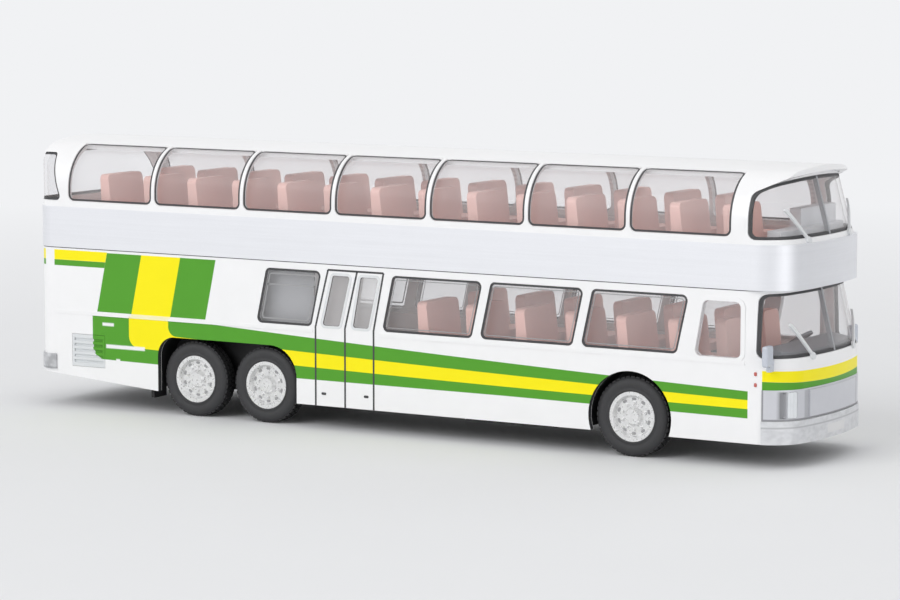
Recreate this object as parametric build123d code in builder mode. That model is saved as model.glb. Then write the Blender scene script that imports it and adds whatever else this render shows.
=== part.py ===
"""Scale model, 1:87, of a double-deck three-axle touring coach.

+X is the front, +Y the left side and +Z up. The origin is on the floor under the
middle of the model. Lengths are millimetres at the model's own size.
"""

from build123d import *
from math import sqrt
import os

os.makedirs("parts", exist_ok=True)

# Overall body
body_length = 138.0
half_width = 14.35
front_x = body_length / 2
rear_x = -body_length / 2
wall = 1.0
roof_wall = 0.9
nose_bow = 2.0
nose_corner = 6.0
tail_corner = 3.0
fit = 0.05

# How far a cutting block runs past what it cuts
overrun = 2.0

# Heights above the floor, stacked from the skirt to the crown of the roof
skirt_z = 3.7
tail_skirt_z = 5.7
waist_z = 15.3
screen_foot_z = 16.2
belt_low_z = 26.3
belt_height = 6.7
dome_wall_height = 3.0
dome_radius = 7.5
roof_crown = 0.5
belt_high_z = belt_low_z + belt_height
dome_spring_z = belt_high_z + dome_wall_height
crown_z = dome_spring_z + dome_radius + roof_crown

# Lean of the nose, storey by storey
lower_screen_lean = 2.5
belt_setback = 0.4
upper_setback = 0.85
upper_screen_lean = 3.05

# Wheels and axles
tyre_radius = 6.08
tyre_width = 3.3
tyre_shoulder = 0.8
tyre_shoulder_drop = 0.5
tyre_bead_drop = 0.3
hub_radius = 3.8
hub_depth = 2.6
hub_face_drop = 0.2
hub_cap_radius = 1.1
hub_dish_inner = 1.5
hub_dish_outer = 2.9
hub_dish_depth = 0.9
hub_rim_inner = 3.25
axle_radius = 0.75
axle_play = 0.05
axle_end_drop = 1.2
wheel_inset = 0.6
front_overhang = 27.0
rear_overhang = 31.4
rear_axle_spread = 13.7
axle_z = tyre_radius
wheel_face_y = half_width - wheel_inset
front_axle_x = front_x - front_overhang
tag_axle_x = rear_x + rear_overhang
drive_axle_x = tag_axle_x + rear_axle_spread

# Wheel arches and the wells behind them
arch_gap = 0.92
rear_arch_tail_gap = 0.82
rear_arch_nose_gap = 0.3
rear_arch_roof_gap = 0.54
rear_arch_tail_corner = 3.2
rear_arch_nose_corner = 5.0
liner_wall = 0.5
well_depth = 4.6
arch_radius = tyre_radius + arch_gap
rear_arch_rear_x = tag_axle_x - tyre_radius - rear_arch_tail_gap
rear_arch_front_x = drive_axle_x + tyre_radius + rear_arch_nose_gap
rear_arch_top_z = axle_z + tyre_radius + rear_arch_roof_gap
well_inner_y = wheel_face_y - well_depth

# Side windows and doors of the lower deck
pane_sill = 0.9
pane_head = 1.2
pane_lean = 2.0
pane_corner = 0.9
pane_recess = 0.12
door_pane_corner = 0.4
door_head = 0.95
quarter_head = 1.8
quarter_lean = 1.5
saloon_pane_count = 3
saloon_pillar = 1.4
glazing_back = 0.5
glazing_lap = 0.6
groove_width = 0.22
groove_depth = 0.3
frame_width = 0.7
frame_proud = 0.12
moulding_height = 0.6
moulding_proud = 0.12
pane_low_z = waist_z + pane_sill
pane_high_z = belt_low_z - pane_head
door_top_z = belt_low_z - door_head

# Dome windows of the upper deck
dome_pane_sill = 1.0
dome_pane_reach = 5.35
dome_pane_setback = 6.7
dome_pane_width = 16.75
dome_pillar = 0.6
dome_front_pillar = 2.4
dome_pane_corner = 1.1
dome_glazing_lap = 0.8
dome_pane_low_z = belt_high_z + dome_pane_sill
dome_pane_top_y = half_width - dome_pane_reach
dome_pane_pitch = dome_pane_width + dome_pillar
dome_first_x = rear_x + dome_pane_setback

# Windscreens, rear window and the roof's brow
screen_glass = 0.6
screen_recess = 0.15
screen_corner = 1.2
divider_width = 0.45
divider_recess = 0.05
lower_screen_wrap = 6.25
lower_screen_sill = 0.15
lower_screen_head = 0.55
upper_screen_wrap = 7.8
upper_screen_sill = 0.7
upper_screen_side_rise = 4.4
rear_pane_wrap = 5.2
rear_pane_top_wrap = 2.8
rear_pane_sill = 1.0
rear_pane_head = 2.3
rear_pane_corner = 0.7
brow_setback = 2.0
brow_thick = 0.9
lower_screen_side_x = front_x - lower_screen_wrap
lower_screen_low_z = screen_foot_z + lower_screen_sill
lower_screen_high_z = belt_low_z - lower_screen_head
upper_screen_side_x = front_x - upper_screen_wrap
upper_screen_low_z = belt_high_z + upper_screen_sill
upper_screen_side_z = dome_spring_z + upper_screen_side_rise
brow_front_x = front_x - brow_setback
rear_pane_low_z = belt_high_z + rear_pane_sill
rear_pane_high_z = crown_z - rear_pane_head

# Belt and decks
belt_proud = 0.12
belt_wall = 0.7
shelf_width = 3.2
shelf_thick = 0.6
upper_floor_thick = 0.8
lower_floor_z = 8.0
lower_floor_thick = 0.8
lower_floor_setback = 8.5
aisle_half = 2.8
upper_floor_z = belt_low_z + shelf_thick + upper_floor_thick
lower_seat_floor_z = lower_floor_z + lower_floor_thick

# Seats
seat_pitch = 8.725
seat_setback = 12.4
seat_base_depth = 4.4
seat_depth = 5.6
seat_cushion_thick = 1.2
seat_back_thick = 1.6
seat_rake = 0.7
seat_corner = 0.9
upper_cushion_rise = 5.0
upper_seat_rise = 2.4
upper_seat_gap = 2.05
lower_cushion_rise = 1.4
lower_seat_drop = 5.3
lower_seat_gap = 1.75
over_wheel_gap = 0.15
cab_seat_setback = 14.7
cab_seat_half = 2.6
cab_cushion_z = 14.4
cab_rows_setback = 19.0
upper_seat_top_z = dome_spring_z + upper_seat_rise
lower_seat_top_z = belt_low_z - lower_seat_drop
upper_seat_side_y = half_width - upper_seat_gap
lower_seat_side_y = half_width - lower_seat_gap

# Console and hood behind the upper windscreen
console_depth = 6.2
console_rise = 1.8
console_gap = 1.6
console_side_gap = 3.35
hood_setback = 4.8
hood_depth = 1.8
hood_rise = 4.5
hood_right_y = -2.5
hood_left_gap = 4.35
console_rear_x = front_x - console_depth
console_top_z = belt_high_z + console_rise

# Stair box behind the rear side window
stair_inset = 0.8
stair_side_gap = 2.15
stair_inner_y = 4.0
stair_foot_gap = 1.3
stair_head_gap = 0.1

# Cab
dash_depth = 7.4
dash_top_z = 17.6
dash_nose_drop = 0.9
dash_face_drop = 1.6
dash_slope = 1.4
dash_side_gap = 2.85
dash_wall_gap = 0.3
cab_y = 6.6
steer_radius = 2.3
steer_rim = 0.45
steer_thick = 0.4
steer_boss = 0.6
steer_spoke = 0.5
steer_column = 0.4
steer_column_length = 3.0
steer_reach = 1.5
steer_drop = 1.0
steer_tilt = (-0.55, 0, 0.83)
dash_rear_x = front_x - dash_depth

# Chassis plate and its relief
plate_gap = 0.5
plate_thick = 1.0
plate_kick_gap = 1.5
plate_kick_run = 5.0
bearing_half = 1.6
bearing_width = 2.0
bearing_side_gap = 0.2
bearing_top_gap = 0.3
rail_y = 4.6
rail_width = 1.2
rail_drop = 0.7
rail_tail_gap = 0.5
rail_nose_run = 10.0
relief_low_z = 3.0
gearbox_half_length = 8.0
gearbox_half_width = 3.6
tank_rear_x = 12.0
tank_front_x = 28.0
tank_inner_y = 6.4
tank_side_gap = 2.85
flap_gap = 2.1
flap_thick = 0.6
flap_width = 3.4
flap_inset = 2.55
flap_low_z = 2.3
plate_low_z = skirt_z + plate_gap
plate_high_z = plate_low_z + plate_thick
plate_mid_z = plate_low_z + plate_thick / 2
plate_tail_low_z = tail_skirt_z + plate_gap
bearing_top_z = lower_floor_z - bearing_top_gap

# Front mask, lamps and bumpers
mask_low_z = 7.2
mask_high_z = 11.75
mask_wrap = 5.3
mask_seat = 0.4
mask_proud = 0.12
panel_side_gap = 6.2
panel_edge = 0.3
panel_proud = 0.3
lamp_outer_gap = 2.15
lamp_width = 1.35
lamp_edge = 0.35
lamp_corner = 0.3
slot_gap = 0.25
slot_width = 0.65
slot_depth = 0.3
bumper_proud = 0.3
rear_bumper_low_z = 6.0
rear_bumper_high_z = 8.5
rear_bumper_wrap = 4.0
tail_lamp_gap = 3.95
tail_lamp_width = 1.5
tail_lamp_height = 4.4
tail_lamp_z = 12.0
mask_side_x = front_x - mask_wrap

# Louvred engine panels
grille_depth = 0.5
louvre_pitch = 0.9
side_grille_setback = 10.5
side_grille_z = 9.4
side_grille_width = 6.7
side_grille_height = 5.4
tail_grille_z = 12.2
tail_grille_width = 15.0
tail_grille_height = 5.0

# Mirrors and wipers
mirror_setback = 4.0
mirror_z = 16.9
mirror_out = 0.75
mirror_thick = 1.0
mirror_width = 2.2
mirror_height = 3.1
mirror_corner = 0.35
mirror_arm_width = 0.6
mirror_arm_reach = 1.8
mirror_arm_height = 1.6
mirror_arm_inset = 0.4
wiper_thick = 0.35
wiper_width = 0.5
wiper_boss = 0.55

SIDES = (-1, 1)
AXLES = {"front": front_axle_x, "drive": drive_axle_x, "tag": tag_axle_x}


def plan_section(z, front, inset=0.0):
    """Plan outline at height z: flat sides and tail, bowed nose, rounded corners."""
    shoulder = front - nose_bow
    with BuildSketch(Plane.XY.offset(z)) as section:
        with BuildLine():
            Polyline(
                (shoulder, half_width),
                (rear_x, half_width),
                (rear_x, -half_width),
                (shoulder, -half_width),
            )
            ThreePointArc((shoulder, -half_width), (front, 0), (shoulder, half_width))
        make_face()
        fillet(section.vertices().sort_by(Axis.X)[-2:], nose_corner)
        fillet(section.vertices().sort_by(Axis.X)[:2], tail_corner)
        if inset:
            offset(amount=-inset, mode=Mode.REPLACE)
    return section.sketch


def storey(levels, inset=0.0):
    """Solid of one storey, ruled between its plan outlines (height, front)."""
    with BuildPart() as block:
        loft(sections=[plan_section(z, front, inset) for z, front in levels], ruled=True)
    return block.part


def dome_section(x, inset=0.0):
    """Cross-section of the upper deck: upright sides, round shoulders, crowned roof."""
    centre_y = half_width - dome_radius
    rise = dome_radius + roof_crown
    crown_radius = (centre_y**2 + rise**2 - dome_radius**2) / (2 * roof_crown)
    crown_centre_z = crown_z - crown_radius
    reach = sqrt(centre_y**2 + (dome_spring_z - crown_centre_z) ** 2)
    along_y = centre_y / reach
    along_z = (dome_spring_z - crown_centre_z) / reach
    radius = dome_radius - inset
    side_y = half_width - inset
    tangent = (
        along_y * (crown_radius - inset),
        crown_centre_z + along_z * (crown_radius - inset),
    )
    middle = (
        centre_y + radius * sqrt(0.5),
        dome_spring_z + radius * sqrt(0.5),
    )
    with BuildSketch(Plane.YZ.offset(x)) as section:
        with BuildLine():
            for side in SIDES:
                Line((0, belt_high_z), (side * side_y, belt_high_z))
                Line((side * side_y, belt_high_z), (side * side_y, dome_spring_z))
                ThreePointArc(
                    (side * side_y, dome_spring_z),
                    (side * middle[0], middle[1]),
                    (side * tangent[0], tangent[1]),
                )
            ThreePointArc(
                (-tangent[0], tangent[1]), (0, crown_z - inset), (tangent[0], tangent[1])
            )
        make_face()
    return section.sketch


def dome_block(inset=0.0, start=rear_x - overrun, end=front_x + overrun):
    """Upper-deck cross-section run along X from start to end."""
    with BuildPart() as block:
        extrude(dome_section(start, inset), amount=end - start)
    return block.part


def side_plane(side):
    """Plane of a side wall's outer face; its local axes are X and Z."""
    return Plane.XZ.offset(-side * half_width)


def pane_outline(side, pane, inset=0.0):
    """Slanted side-window outline with rounded corners."""
    rear_low, front_low, low, high, rear_lean, front_lean, corner = pane
    with BuildSketch(side_plane(side)) as outline:
        with BuildLine():
            Polyline(
                (rear_low, low),
                (front_low, low),
                (front_low + front_lean, high),
                (rear_low + rear_lean, high),
                close=True,
            )
        make_face()
        fillet(outline.vertices(), corner)
        if inset:
            offset(amount=-inset, mode=Mode.REPLACE)
    return outline.sketch


def pane_prism(side, pane, inset=0.0):
    """Side-window outline run through the wall."""
    with BuildPart() as prism:
        extrude(pane_outline(side, pane, inset), amount=2 * wall, both=True)
    return prism.part


def side_slab(points, radius=0.0):
    """Outline in X and Z, corners rounded, run across the whole width."""
    with BuildPart() as slab:
        with BuildSketch(Plane.XZ) as outline:
            with BuildLine():
                Polyline(*points, close=True)
            make_face()
            if radius:
                fillet(outline.vertices(), radius)
        extrude(amount=half_width + overrun, both=True)
    return slab.part


def span_box(x_range, y_range, z_range):
    """Plain block between two corners."""
    (x0, x1), (y0, y1), (z0, z1) = x_range, y_range, z_range
    with BuildPart() as block:
        with Locations(((x0 + x1) / 2, (y0 + y1) / 2, (z0 + z1) / 2)):
            Box(x1 - x0, y1 - y0, z1 - z0)
    return block.part


def across(x_range, z_range):
    """Plain block past both sides of the body."""
    return span_box(x_range, (-half_width - overrun, half_width + overrun), z_range)


# Storeys: each row of a table is a height and the nose's reach there
LOWER = (
    (skirt_z, front_x),
    (screen_foot_z, front_x),
    (belt_low_z, front_x - lower_screen_lean),
)
BELT = ((belt_low_z, front_x - belt_setback), (belt_high_z, front_x - belt_setback))
UPPER = (
    (belt_high_z, front_x - upper_setback),
    (crown_z, front_x - upper_setback - upper_screen_lean),
)
UPRIGHT = ((0, front_x), (crown_z, front_x))

# Door leaf edges: foot x, lean of the slanted part above the waist
door_edges = ((rear_x + 55.1, 2.4), (rear_x + 60.6, 2.3), (rear_x + 65.9, 1.85))
door_rear_x = door_edges[0][0]
door_front_x = door_edges[-1][0]

# Lower side windows: rear foot x, front foot x, low z, high z, rear lean, front lean, corner
upright_span = (pane_low_z, pane_high_z, pane_lean, pane_lean, pane_corner)
stair_pane = (rear_x + 43.8, rear_x + 54.3, *upright_span)
nearside_pane = (rear_x + 56.3, rear_x + 65.6, *upright_span)
saloon_rear_x = rear_x + 67.4
saloon_front_x = front_x - 19.2
saloon_run = saloon_front_x - saloon_rear_x
saloon_width = (saloon_run - (saloon_pane_count - 1) * saloon_pillar) / saloon_pane_count
saloon_starts = [saloon_rear_x + i * (saloon_width + saloon_pillar) for i in range(saloon_pane_count)]
saloon_panes = [(x, x + saloon_width, *upright_span) for x in saloon_starts]
quarter_span = (pane_low_z, belt_low_z - quarter_head, quarter_lean, 0.0, pane_corner)
quarter_pane = (front_x - 16.3, front_x - 8.7, *quarter_span)
door_pane_span = (pane_low_z + 0.3, pane_high_z - 0.6)
door_panes = (
    (rear_x + 56.4, rear_x + 59.6, *door_pane_span, 2.0, 2.0, door_pane_corner),
    (rear_x + 62.05, rear_x + 64.95, *door_pane_span, 1.5, 1.9, door_pane_corner),
)
PANES = {
    -1: (stair_pane, *door_panes, *saloon_panes, quarter_pane),
    1: (stair_pane, nearside_pane, *saloon_panes, quarter_pane),
}

# Waist moulding: rear end x, front end x
moulding_runs = ((rear_x + 4.0, door_rear_x - 0.5), (door_front_x + 0.7, front_x - 8.0))

lower_outer = storey(LOWER)
lower_inner = storey(LOWER, wall)


# Lower shell: sides, tail and nose of the lower deck
def rear_arch(grow=0.0):
    """Long arch over the rear wheel pair, run across the width."""
    with BuildPart() as arch:
        with BuildSketch(Plane.XZ) as outline:
            with BuildLine():
                Polyline(
                    (rear_arch_rear_x - grow, 0),
                    (rear_arch_front_x + grow, 0),
                    (rear_arch_front_x + grow, rear_arch_top_z + grow),
                    (rear_arch_rear_x - grow, rear_arch_top_z + grow),
                    close=True,
                )
            make_face()
            rear_top = outline.vertices().group_by(Axis.X)[0].sort_by(Axis.Y)[-1]
            fillet(rear_top, rear_arch_tail_corner + grow)
            front_top = outline.vertices().group_by(Axis.X)[-1].sort_by(Axis.Y)[-1]
            fillet(front_top, rear_arch_nose_corner + grow)
        extrude(amount=half_width + overrun, both=True)
    return arch.part


def front_arch(grow=0.0):
    """Round arch over the front wheels, run across the width."""
    with BuildPart() as arch:
        with BuildSketch(Plane.XZ):
            with Locations((front_axle_x, axle_z)):
                Circle(arch_radius + grow)
        extrude(amount=half_width + overrun, both=True)
    return arch.part


def lower_screen_slab(inset=0.0):
    """Lower windscreen's outline from the side, run across the width."""
    side, nose = lower_screen_side_x + inset, front_x + nose_corner
    low, high = lower_screen_low_z + inset, lower_screen_high_z - inset
    return side_slab(((side, low), (nose, low), (nose, high), (side, high)), screen_corner)


def grille_blocks(shrink, depth):
    """Panel blocks sunk to a depth in the two sides and the tail."""
    x = rear_x + side_grille_setback
    reach_x = side_grille_width / 2 - shrink
    reach_z = side_grille_height / 2 - shrink
    blocks = [
        span_box(
            (x - reach_x, x + reach_x),
            sorted((side * half_width, side * (half_width - depth))),
            (side_grille_z - reach_z, side_grille_z + reach_z),
        )
        for side in SIDES
    ]
    reach_y = tail_grille_width / 2 - shrink
    reach_z = tail_grille_height / 2 - shrink
    tail_span = (tail_grille_z - reach_z, tail_grille_z + reach_z)
    blocks.append(span_box((rear_x, rear_x + depth), (-reach_y, reach_y), tail_span))
    return blocks


mask_zone = across((mask_side_x, front_x + overrun), (mask_low_z, mask_high_z))
mask_pocket = (lower_outer - storey(LOWER, mask_seat)) & mask_zone
tail_cut = side_slab(
    (
        (rear_arch_rear_x, 0),
        (rear_arch_rear_x, skirt_z),
        (rear_x - wall, tail_skirt_z),
        (rear_x - wall, 0),
    )
)

with BuildPart() as lower_shell:
    add(lower_outer)
    add(lower_inner, mode=Mode.SUBTRACT)
    add(front_arch(), mode=Mode.SUBTRACT)
    add(rear_arch(), mode=Mode.SUBTRACT)
    add(tail_cut, mode=Mode.SUBTRACT)
    for start, end in moulding_runs:
        for side in SIDES:
            with Locations(((start + end) / 2, side * half_width, waist_z + moulding_height / 2)):
                Box(end - start, 2 * moulding_proud, moulding_height)
    for side in SIDES:
        extrude(
            pane_outline(side, quarter_pane, -frame_width), amount=-side * frame_proud
        )
        for pane in PANES[side]:
            add(pane_prism(side, pane), mode=Mode.SUBTRACT)
    for foot, lean in door_edges:
        with BuildSketch(side_plane(-1)):
            with BuildLine():
                Polyline(
                    (foot, skirt_z - overrun),
                    (foot, pane_low_z),
                    (foot + lean, door_top_z),
                )
            trace(line_width=groove_width)
        extrude(amount=-groove_depth, mode=Mode.SUBTRACT)
    with BuildSketch(side_plane(-1)):
        with BuildLine():
            Line(
                (door_rear_x + door_edges[0][1], door_top_z),
                (door_front_x + door_edges[-1][1], door_top_z),
            )
        trace(line_width=groove_width)
    extrude(amount=-groove_depth, mode=Mode.SUBTRACT)
    add(lower_screen_slab(), mode=Mode.SUBTRACT)
    add(mask_pocket, mode=Mode.SUBTRACT)
    for block in grille_blocks(0.0, grille_depth):
        add(block, mode=Mode.SUBTRACT)

lower_shell.part.label = "lower_shell"
export_step(lower_shell.part, "parts/lower_shell.step")


def slat_rows(height):
    """Heights of a panel's slots above its middle, as many as fit its height."""
    count = int((height - 2 * fit) / louvre_pitch)
    return [(row - (count - 1) / 2) * louvre_pitch for row in range(count)]


# Engine grilles: slatted panels seated in their pockets
with BuildPart() as engine_grilles:
    for block in grille_blocks(fit, grille_depth):
        add(block)
    for rise in slat_rows(side_grille_height):
        for side in SIDES:
            with Locations((rear_x + side_grille_setback, side * half_width, side_grille_z + rise)):
                Box(
                    side_grille_width - louvre_pitch,
                    grille_depth,
                    louvre_pitch / 2,
                    mode=Mode.SUBTRACT,
                )
    for rise in slat_rows(tail_grille_height):
        with Locations((rear_x, 0, tail_grille_z + rise)):
            Box(
                grille_depth,
                tail_grille_width - louvre_pitch,
                louvre_pitch / 2,
                mode=Mode.SUBTRACT,
            )

engine_grilles.part.label = "engine_grilles"
export_step(engine_grilles.part, "parts/engine_grilles.step")

# Lower glazing: one clear insert per side, its panes raised into the openings
pane_ring = storey(LOWER, pane_recess) - lower_inner
backing_ring = lower_inner - storey(LOWER, wall + glazing_back)
for side, name in zip(SIDES, ("lower_glazing_right", "lower_glazing_left")):
    with BuildPart() as lower_glazing:
        add(backing_ring)
        add(
            span_box(
                (stair_pane[0] - 2 * glazing_lap, quarter_pane[1] + glazing_lap),
                sorted((0, side * (half_width + overrun))),
                (pane_low_z - glazing_lap, pane_high_z + glazing_lap),
            ),
            mode=Mode.INTERSECT,
        )
        for pane in PANES[side]:
            add(pane_ring & pane_prism(side, pane, fit))
    lower_glazing.part.label = name
    export_step(lower_glazing.part, f"parts/{name}.step")


def divider_slab(half):
    """Upright slice on the centre line at the nose."""
    return span_box((brow_front_x - nose_corner, front_x + overrun), (-half, half), (skirt_z, crown_z))


# Lower windscreen: two wrap-round panes either side of the divider
lower_glass = storey(LOWER, screen_recess) - storey(LOWER, screen_recess + screen_glass)
with BuildPart() as lower_windscreen:
    add(lower_glass & lower_screen_slab(fit))
    add(divider_slab(divider_width / 2), mode=Mode.SUBTRACT)

lower_windscreen.part.label = "lower_windscreen"
export_step(lower_windscreen.part, "parts/lower_windscreen.step")

# Belt band: silver ring with an inner shelf that carries the upper floor
with BuildPart() as belt_band:
    add(storey(BELT, -belt_proud))
    with BuildSketch(Plane.XY.offset(belt_low_z + shelf_thick)):
        add(plan_section(0, front_x - belt_setback, belt_wall - belt_proud))
    extrude(amount=belt_height, mode=Mode.SUBTRACT)
    with BuildSketch(Plane.XY.offset(belt_low_z)):
        add(plan_section(0, front_x - belt_setback, shelf_width))
    extrude(amount=belt_height, mode=Mode.SUBTRACT)

belt_band.part.label = "belt_band"
export_step(belt_band.part, "parts/belt_band.step")


# Roof shell: dome frame with its pillars, screen openings and brow
def upper_body(inset=0.0):
    """Upper deck as one solid: leaning nose, upright tail, dome roof."""
    return storey(UPPER, inset) & dome_block(inset)


def dome_pane_slab(side, x_start, inset=0.0):
    """Dome-window opening, cut in from the side up to the roof's edge."""
    x_end = x_start + dome_pane_width
    with BuildPart() as slab:
        with BuildSketch(side_plane(side)) as outline:
            with BuildLine():
                Polyline(
                    (x_start + inset, dome_pane_low_z + inset),
                    (x_end - inset, dome_pane_low_z + inset),
                    (x_end - inset, crown_z),
                    (x_start + inset, crown_z),
                    close=True,
                )
            make_face()
            fillet(outline.vertices().sort_by(Axis.Y)[:2], dome_pane_corner)
        extrude(amount=side * (dome_pane_reach - inset))
        extrude(outline.sketch, amount=-side * overrun)
    return slab.part


def upper_screen_slab(inset=0.0):
    """Upper windscreen's outline from the side; its head climbs to the brow's edge."""
    side, nose = upper_screen_side_x + inset, front_x + nose_corner
    low, head = upper_screen_low_z + inset, upper_screen_side_z - inset
    climb = (crown_z - brow_thick - upper_screen_side_z) / (brow_front_x - upper_screen_side_x)
    nose_head = head + climb * (nose - side)
    return side_slab(((side, low), (nose, low), (nose, nose_head), (side, head)), screen_corner)


def rear_pane_slab(inset=0.0):
    """Rear window's outline from the side, its side edges leaning back."""
    low, high = rear_pane_low_z + inset, rear_pane_high_z - inset
    foot, head = rear_x + rear_pane_wrap - inset, rear_x + rear_pane_top_wrap - inset
    tail = rear_x - tail_corner
    return side_slab(((foot, low), (head, high), (tail, high), (tail, low)), rear_pane_corner)


brow_plan = storey(((dome_spring_z, brow_front_x), (crown_z + overrun, brow_front_x)))
brow_start_x = upper_screen_side_x - dome_front_pillar
brow_ends = (brow_start_x, front_x)
brow = (dome_block(0.0, *brow_ends) - dome_block(roof_wall, *brow_ends)) & brow_plan
dome_run = upper_screen_side_x - dome_front_pillar - dome_first_x
dome_pane_count = int((dome_run + dome_pillar) / dome_pane_pitch)
dome_starts = [dome_first_x + i * dome_pane_pitch for i in range(dome_pane_count)]

with BuildPart() as roof_shell:
    add(upper_body())
    add(upper_body(roof_wall), mode=Mode.SUBTRACT)
    add(brow)
    for side in SIDES:
        for x_start in dome_starts:
            add(dome_pane_slab(side, x_start), mode=Mode.SUBTRACT)
    add(upper_screen_slab(), mode=Mode.SUBTRACT)
    add(rear_pane_slab(), mode=Mode.SUBTRACT)

roof_shell.part.label = "roof_shell"
export_step(roof_shell.part, "parts/roof_shell.step")

# Dome glazing: one clear insert per side, its panes raised into the openings
dome_skin = dome_block(roof_wall) - dome_block(roof_wall + glazing_back)
dome_pane_skin = dome_block(pane_recess) - dome_block(roof_wall)
for side, name in zip(SIDES, ("dome_glazing_right", "dome_glazing_left")):
    with BuildPart() as dome_glazing:
        add(dome_skin)
        add(
            span_box(
                (
                    dome_starts[0] - dome_glazing_lap,
                    dome_starts[-1] + dome_pane_width + dome_glazing_lap,
                ),
                sorted((side * (dome_pane_top_y - dome_glazing_lap), side * half_width)),
                (dome_pane_low_z - glazing_lap, crown_z),
            ),
            mode=Mode.INTERSECT,
        )
        for x_start in dome_starts:
            add(dome_pane_skin & dome_pane_slab(side, x_start, fit))
    dome_glazing.part.label = name
    export_step(dome_glazing.part, f"parts/{name}.step")

# Upper windscreen and rear window: skins of the upper deck inside their openings
upper_glass = upper_body(screen_recess) - upper_body(screen_recess + screen_glass)
with BuildPart() as upper_windscreen:
    add(upper_glass & upper_screen_slab(fit))
    add(divider_slab(divider_width / 2), mode=Mode.SUBTRACT)

upper_windscreen.part.label = "upper_windscreen"
export_step(upper_windscreen.part, "parts/upper_windscreen.step")

with BuildPart() as upper_rear_window:
    add(upper_glass & rear_pane_slab(fit))

upper_rear_window.part.label = "upper_rear_window"
export_step(upper_rear_window.part, "parts/upper_rear_window.step")

# Windscreen dividers: one upright bar between the panes of each screen
lower_bar = storey(LOWER, divider_recess) - storey(LOWER, screen_recess + screen_glass)
upper_bar = upper_body(divider_recess) - upper_body(screen_recess + screen_glass)
divider_core = divider_slab((divider_width - fit) / 2)
with BuildPart() as windscreen_dividers:
    add(lower_bar & lower_screen_slab(fit) & divider_core)
    add(upper_bar & upper_screen_slab(fit) & divider_core)

windscreen_dividers.part.label = "windscreen_dividers"
export_step(windscreen_dividers.part, "parts/windscreen_dividers.step")


def seat_block(x, y_range, floor, cushion, top):
    """Double seat facing forward: base, cushion and raked back in one moulding."""
    y0, y1 = y_range
    with BuildPart() as seat:
        with BuildSketch(Plane.XZ.offset(-y1)):
            with BuildLine():
                Polyline(
                    (x, floor),
                    (x + seat_base_depth, floor),
                    (x + seat_base_depth, cushion - seat_cushion_thick),
                    (x + seat_depth, cushion - seat_cushion_thick),
                    (x + seat_depth, cushion),
                    (x + seat_back_thick, cushion),
                    (x + seat_back_thick - seat_rake, top),
                    (x - seat_rake, top),
                    close=True,
                )
            make_face()
        extrude(amount=y1 - y0)
        top_ends = seat.edges().filter_by(Axis.X).group_by(Axis.Z)[-1]
        fillet(top_ends, seat_corner)
    return seat.part


# Upper deck: floor on the belt's shelf with its rows of double seats
seat_first_x = rear_x + seat_setback
seat_row_count = int((console_rear_x - seat_depth - seat_first_x) / seat_pitch) + 1
seat_rows = [seat_first_x + i * seat_pitch for i in range(seat_row_count)]
right_bay = (-upper_seat_side_y, -aisle_half)
left_bay = (aisle_half, upper_seat_side_y)
upper_seats = [(x, right_bay) for x in seat_rows] + [(x, left_bay) for x in seat_rows[:-1]]
with BuildPart() as upper_deck_interior:
    with BuildSketch(Plane.XY.offset(belt_low_z + shelf_thick)):
        add(plan_section(0, front_x - belt_setback, belt_wall - belt_proud + fit))
    extrude(amount=upper_floor_thick)
    for x, bay in upper_seats:
        cushion_z = upper_floor_z + upper_cushion_rise
        add(seat_block(x, bay, upper_floor_z, cushion_z, upper_seat_top_z))

upper_deck_interior.part.label = "upper_deck_interior"
export_step(upper_deck_interior.part, "parts/upper_deck_interior.step")

# Upper console: grey shelf behind the upper windscreen, with a raised hood on its left
console_half = half_width - console_side_gap
hood_front_x = front_x - hood_setback
with BuildPart() as upper_console:
    with BuildSketch(Plane.XY.offset(upper_floor_z)):
        add(plan_section(0, front_x - upper_setback, console_gap))
    extrude(amount=console_top_z - upper_floor_z)
    add(
        span_box(
            (console_rear_x, front_x),
            (-console_half, console_half),
            (upper_floor_z, console_top_z),
        ),
        mode=Mode.INTERSECT,
    )
    add(
        span_box(
            (hood_front_x - hood_depth, hood_front_x),
            (hood_right_y, half_width - hood_left_gap),
            (upper_floor_z, belt_high_z + hood_rise),
        )
    )

upper_console.part.label = "upper_console"
export_step(upper_console.part, "parts/upper_console.step")

# Lower deck: floor between the wheel wells with its seats
floor_half = well_inner_y - liner_wall - 2 * fit
over_wheel_z = axle_z + arch_radius + liner_wall + over_wheel_gap
lower_rows = [x for x in seat_rows if door_front_x < x < front_x - cab_rows_setback]
floor_span = (lower_floor_z, lower_seat_floor_z)
wide_floor_ends = (
    rear_arch_front_x + 2 * liner_wall,
    front_axle_x - arch_radius - 2 * liner_wall,
)
with BuildPart() as lower_deck_interior:
    add(
        span_box(
            (rear_arch_rear_x, front_x - lower_floor_setback),
            (-floor_half, floor_half),
            floor_span,
        )
    )
    add(span_box(wide_floor_ends, (-lower_seat_side_y, lower_seat_side_y), floor_span))
    for x in lower_rows:
        over_wheel = x + seat_depth > wide_floor_ends[1]
        base = over_wheel_z if over_wheel else lower_seat_floor_z
        cushion_z = over_wheel_z + lower_cushion_rise
        for side in SIDES:
            bay = sorted((side * aisle_half, side * lower_seat_side_y))
            add(seat_block(x, bay, base, cushion_z, lower_seat_top_z))
            if over_wheel:
                add(
                    span_box(
                        (x, x + seat_base_depth),
                        sorted((side * aisle_half, side * floor_half)),
                        (lower_floor_z, base),
                    )
                )

lower_deck_interior.part.label = "lower_deck_interior"
export_step(lower_deck_interior.part, "parts/lower_deck_interior.step")

# Stair block: boxed stair between the decks behind the rear side window
with BuildPart() as stair_block:
    add(
        span_box(
            (stair_pane[0] - stair_inset, stair_pane[1] - stair_inset),
            (stair_side_gap - half_width, -stair_inner_y),
            (rear_arch_top_z + stair_foot_gap, belt_low_z - stair_head_gap),
        )
    )

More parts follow.
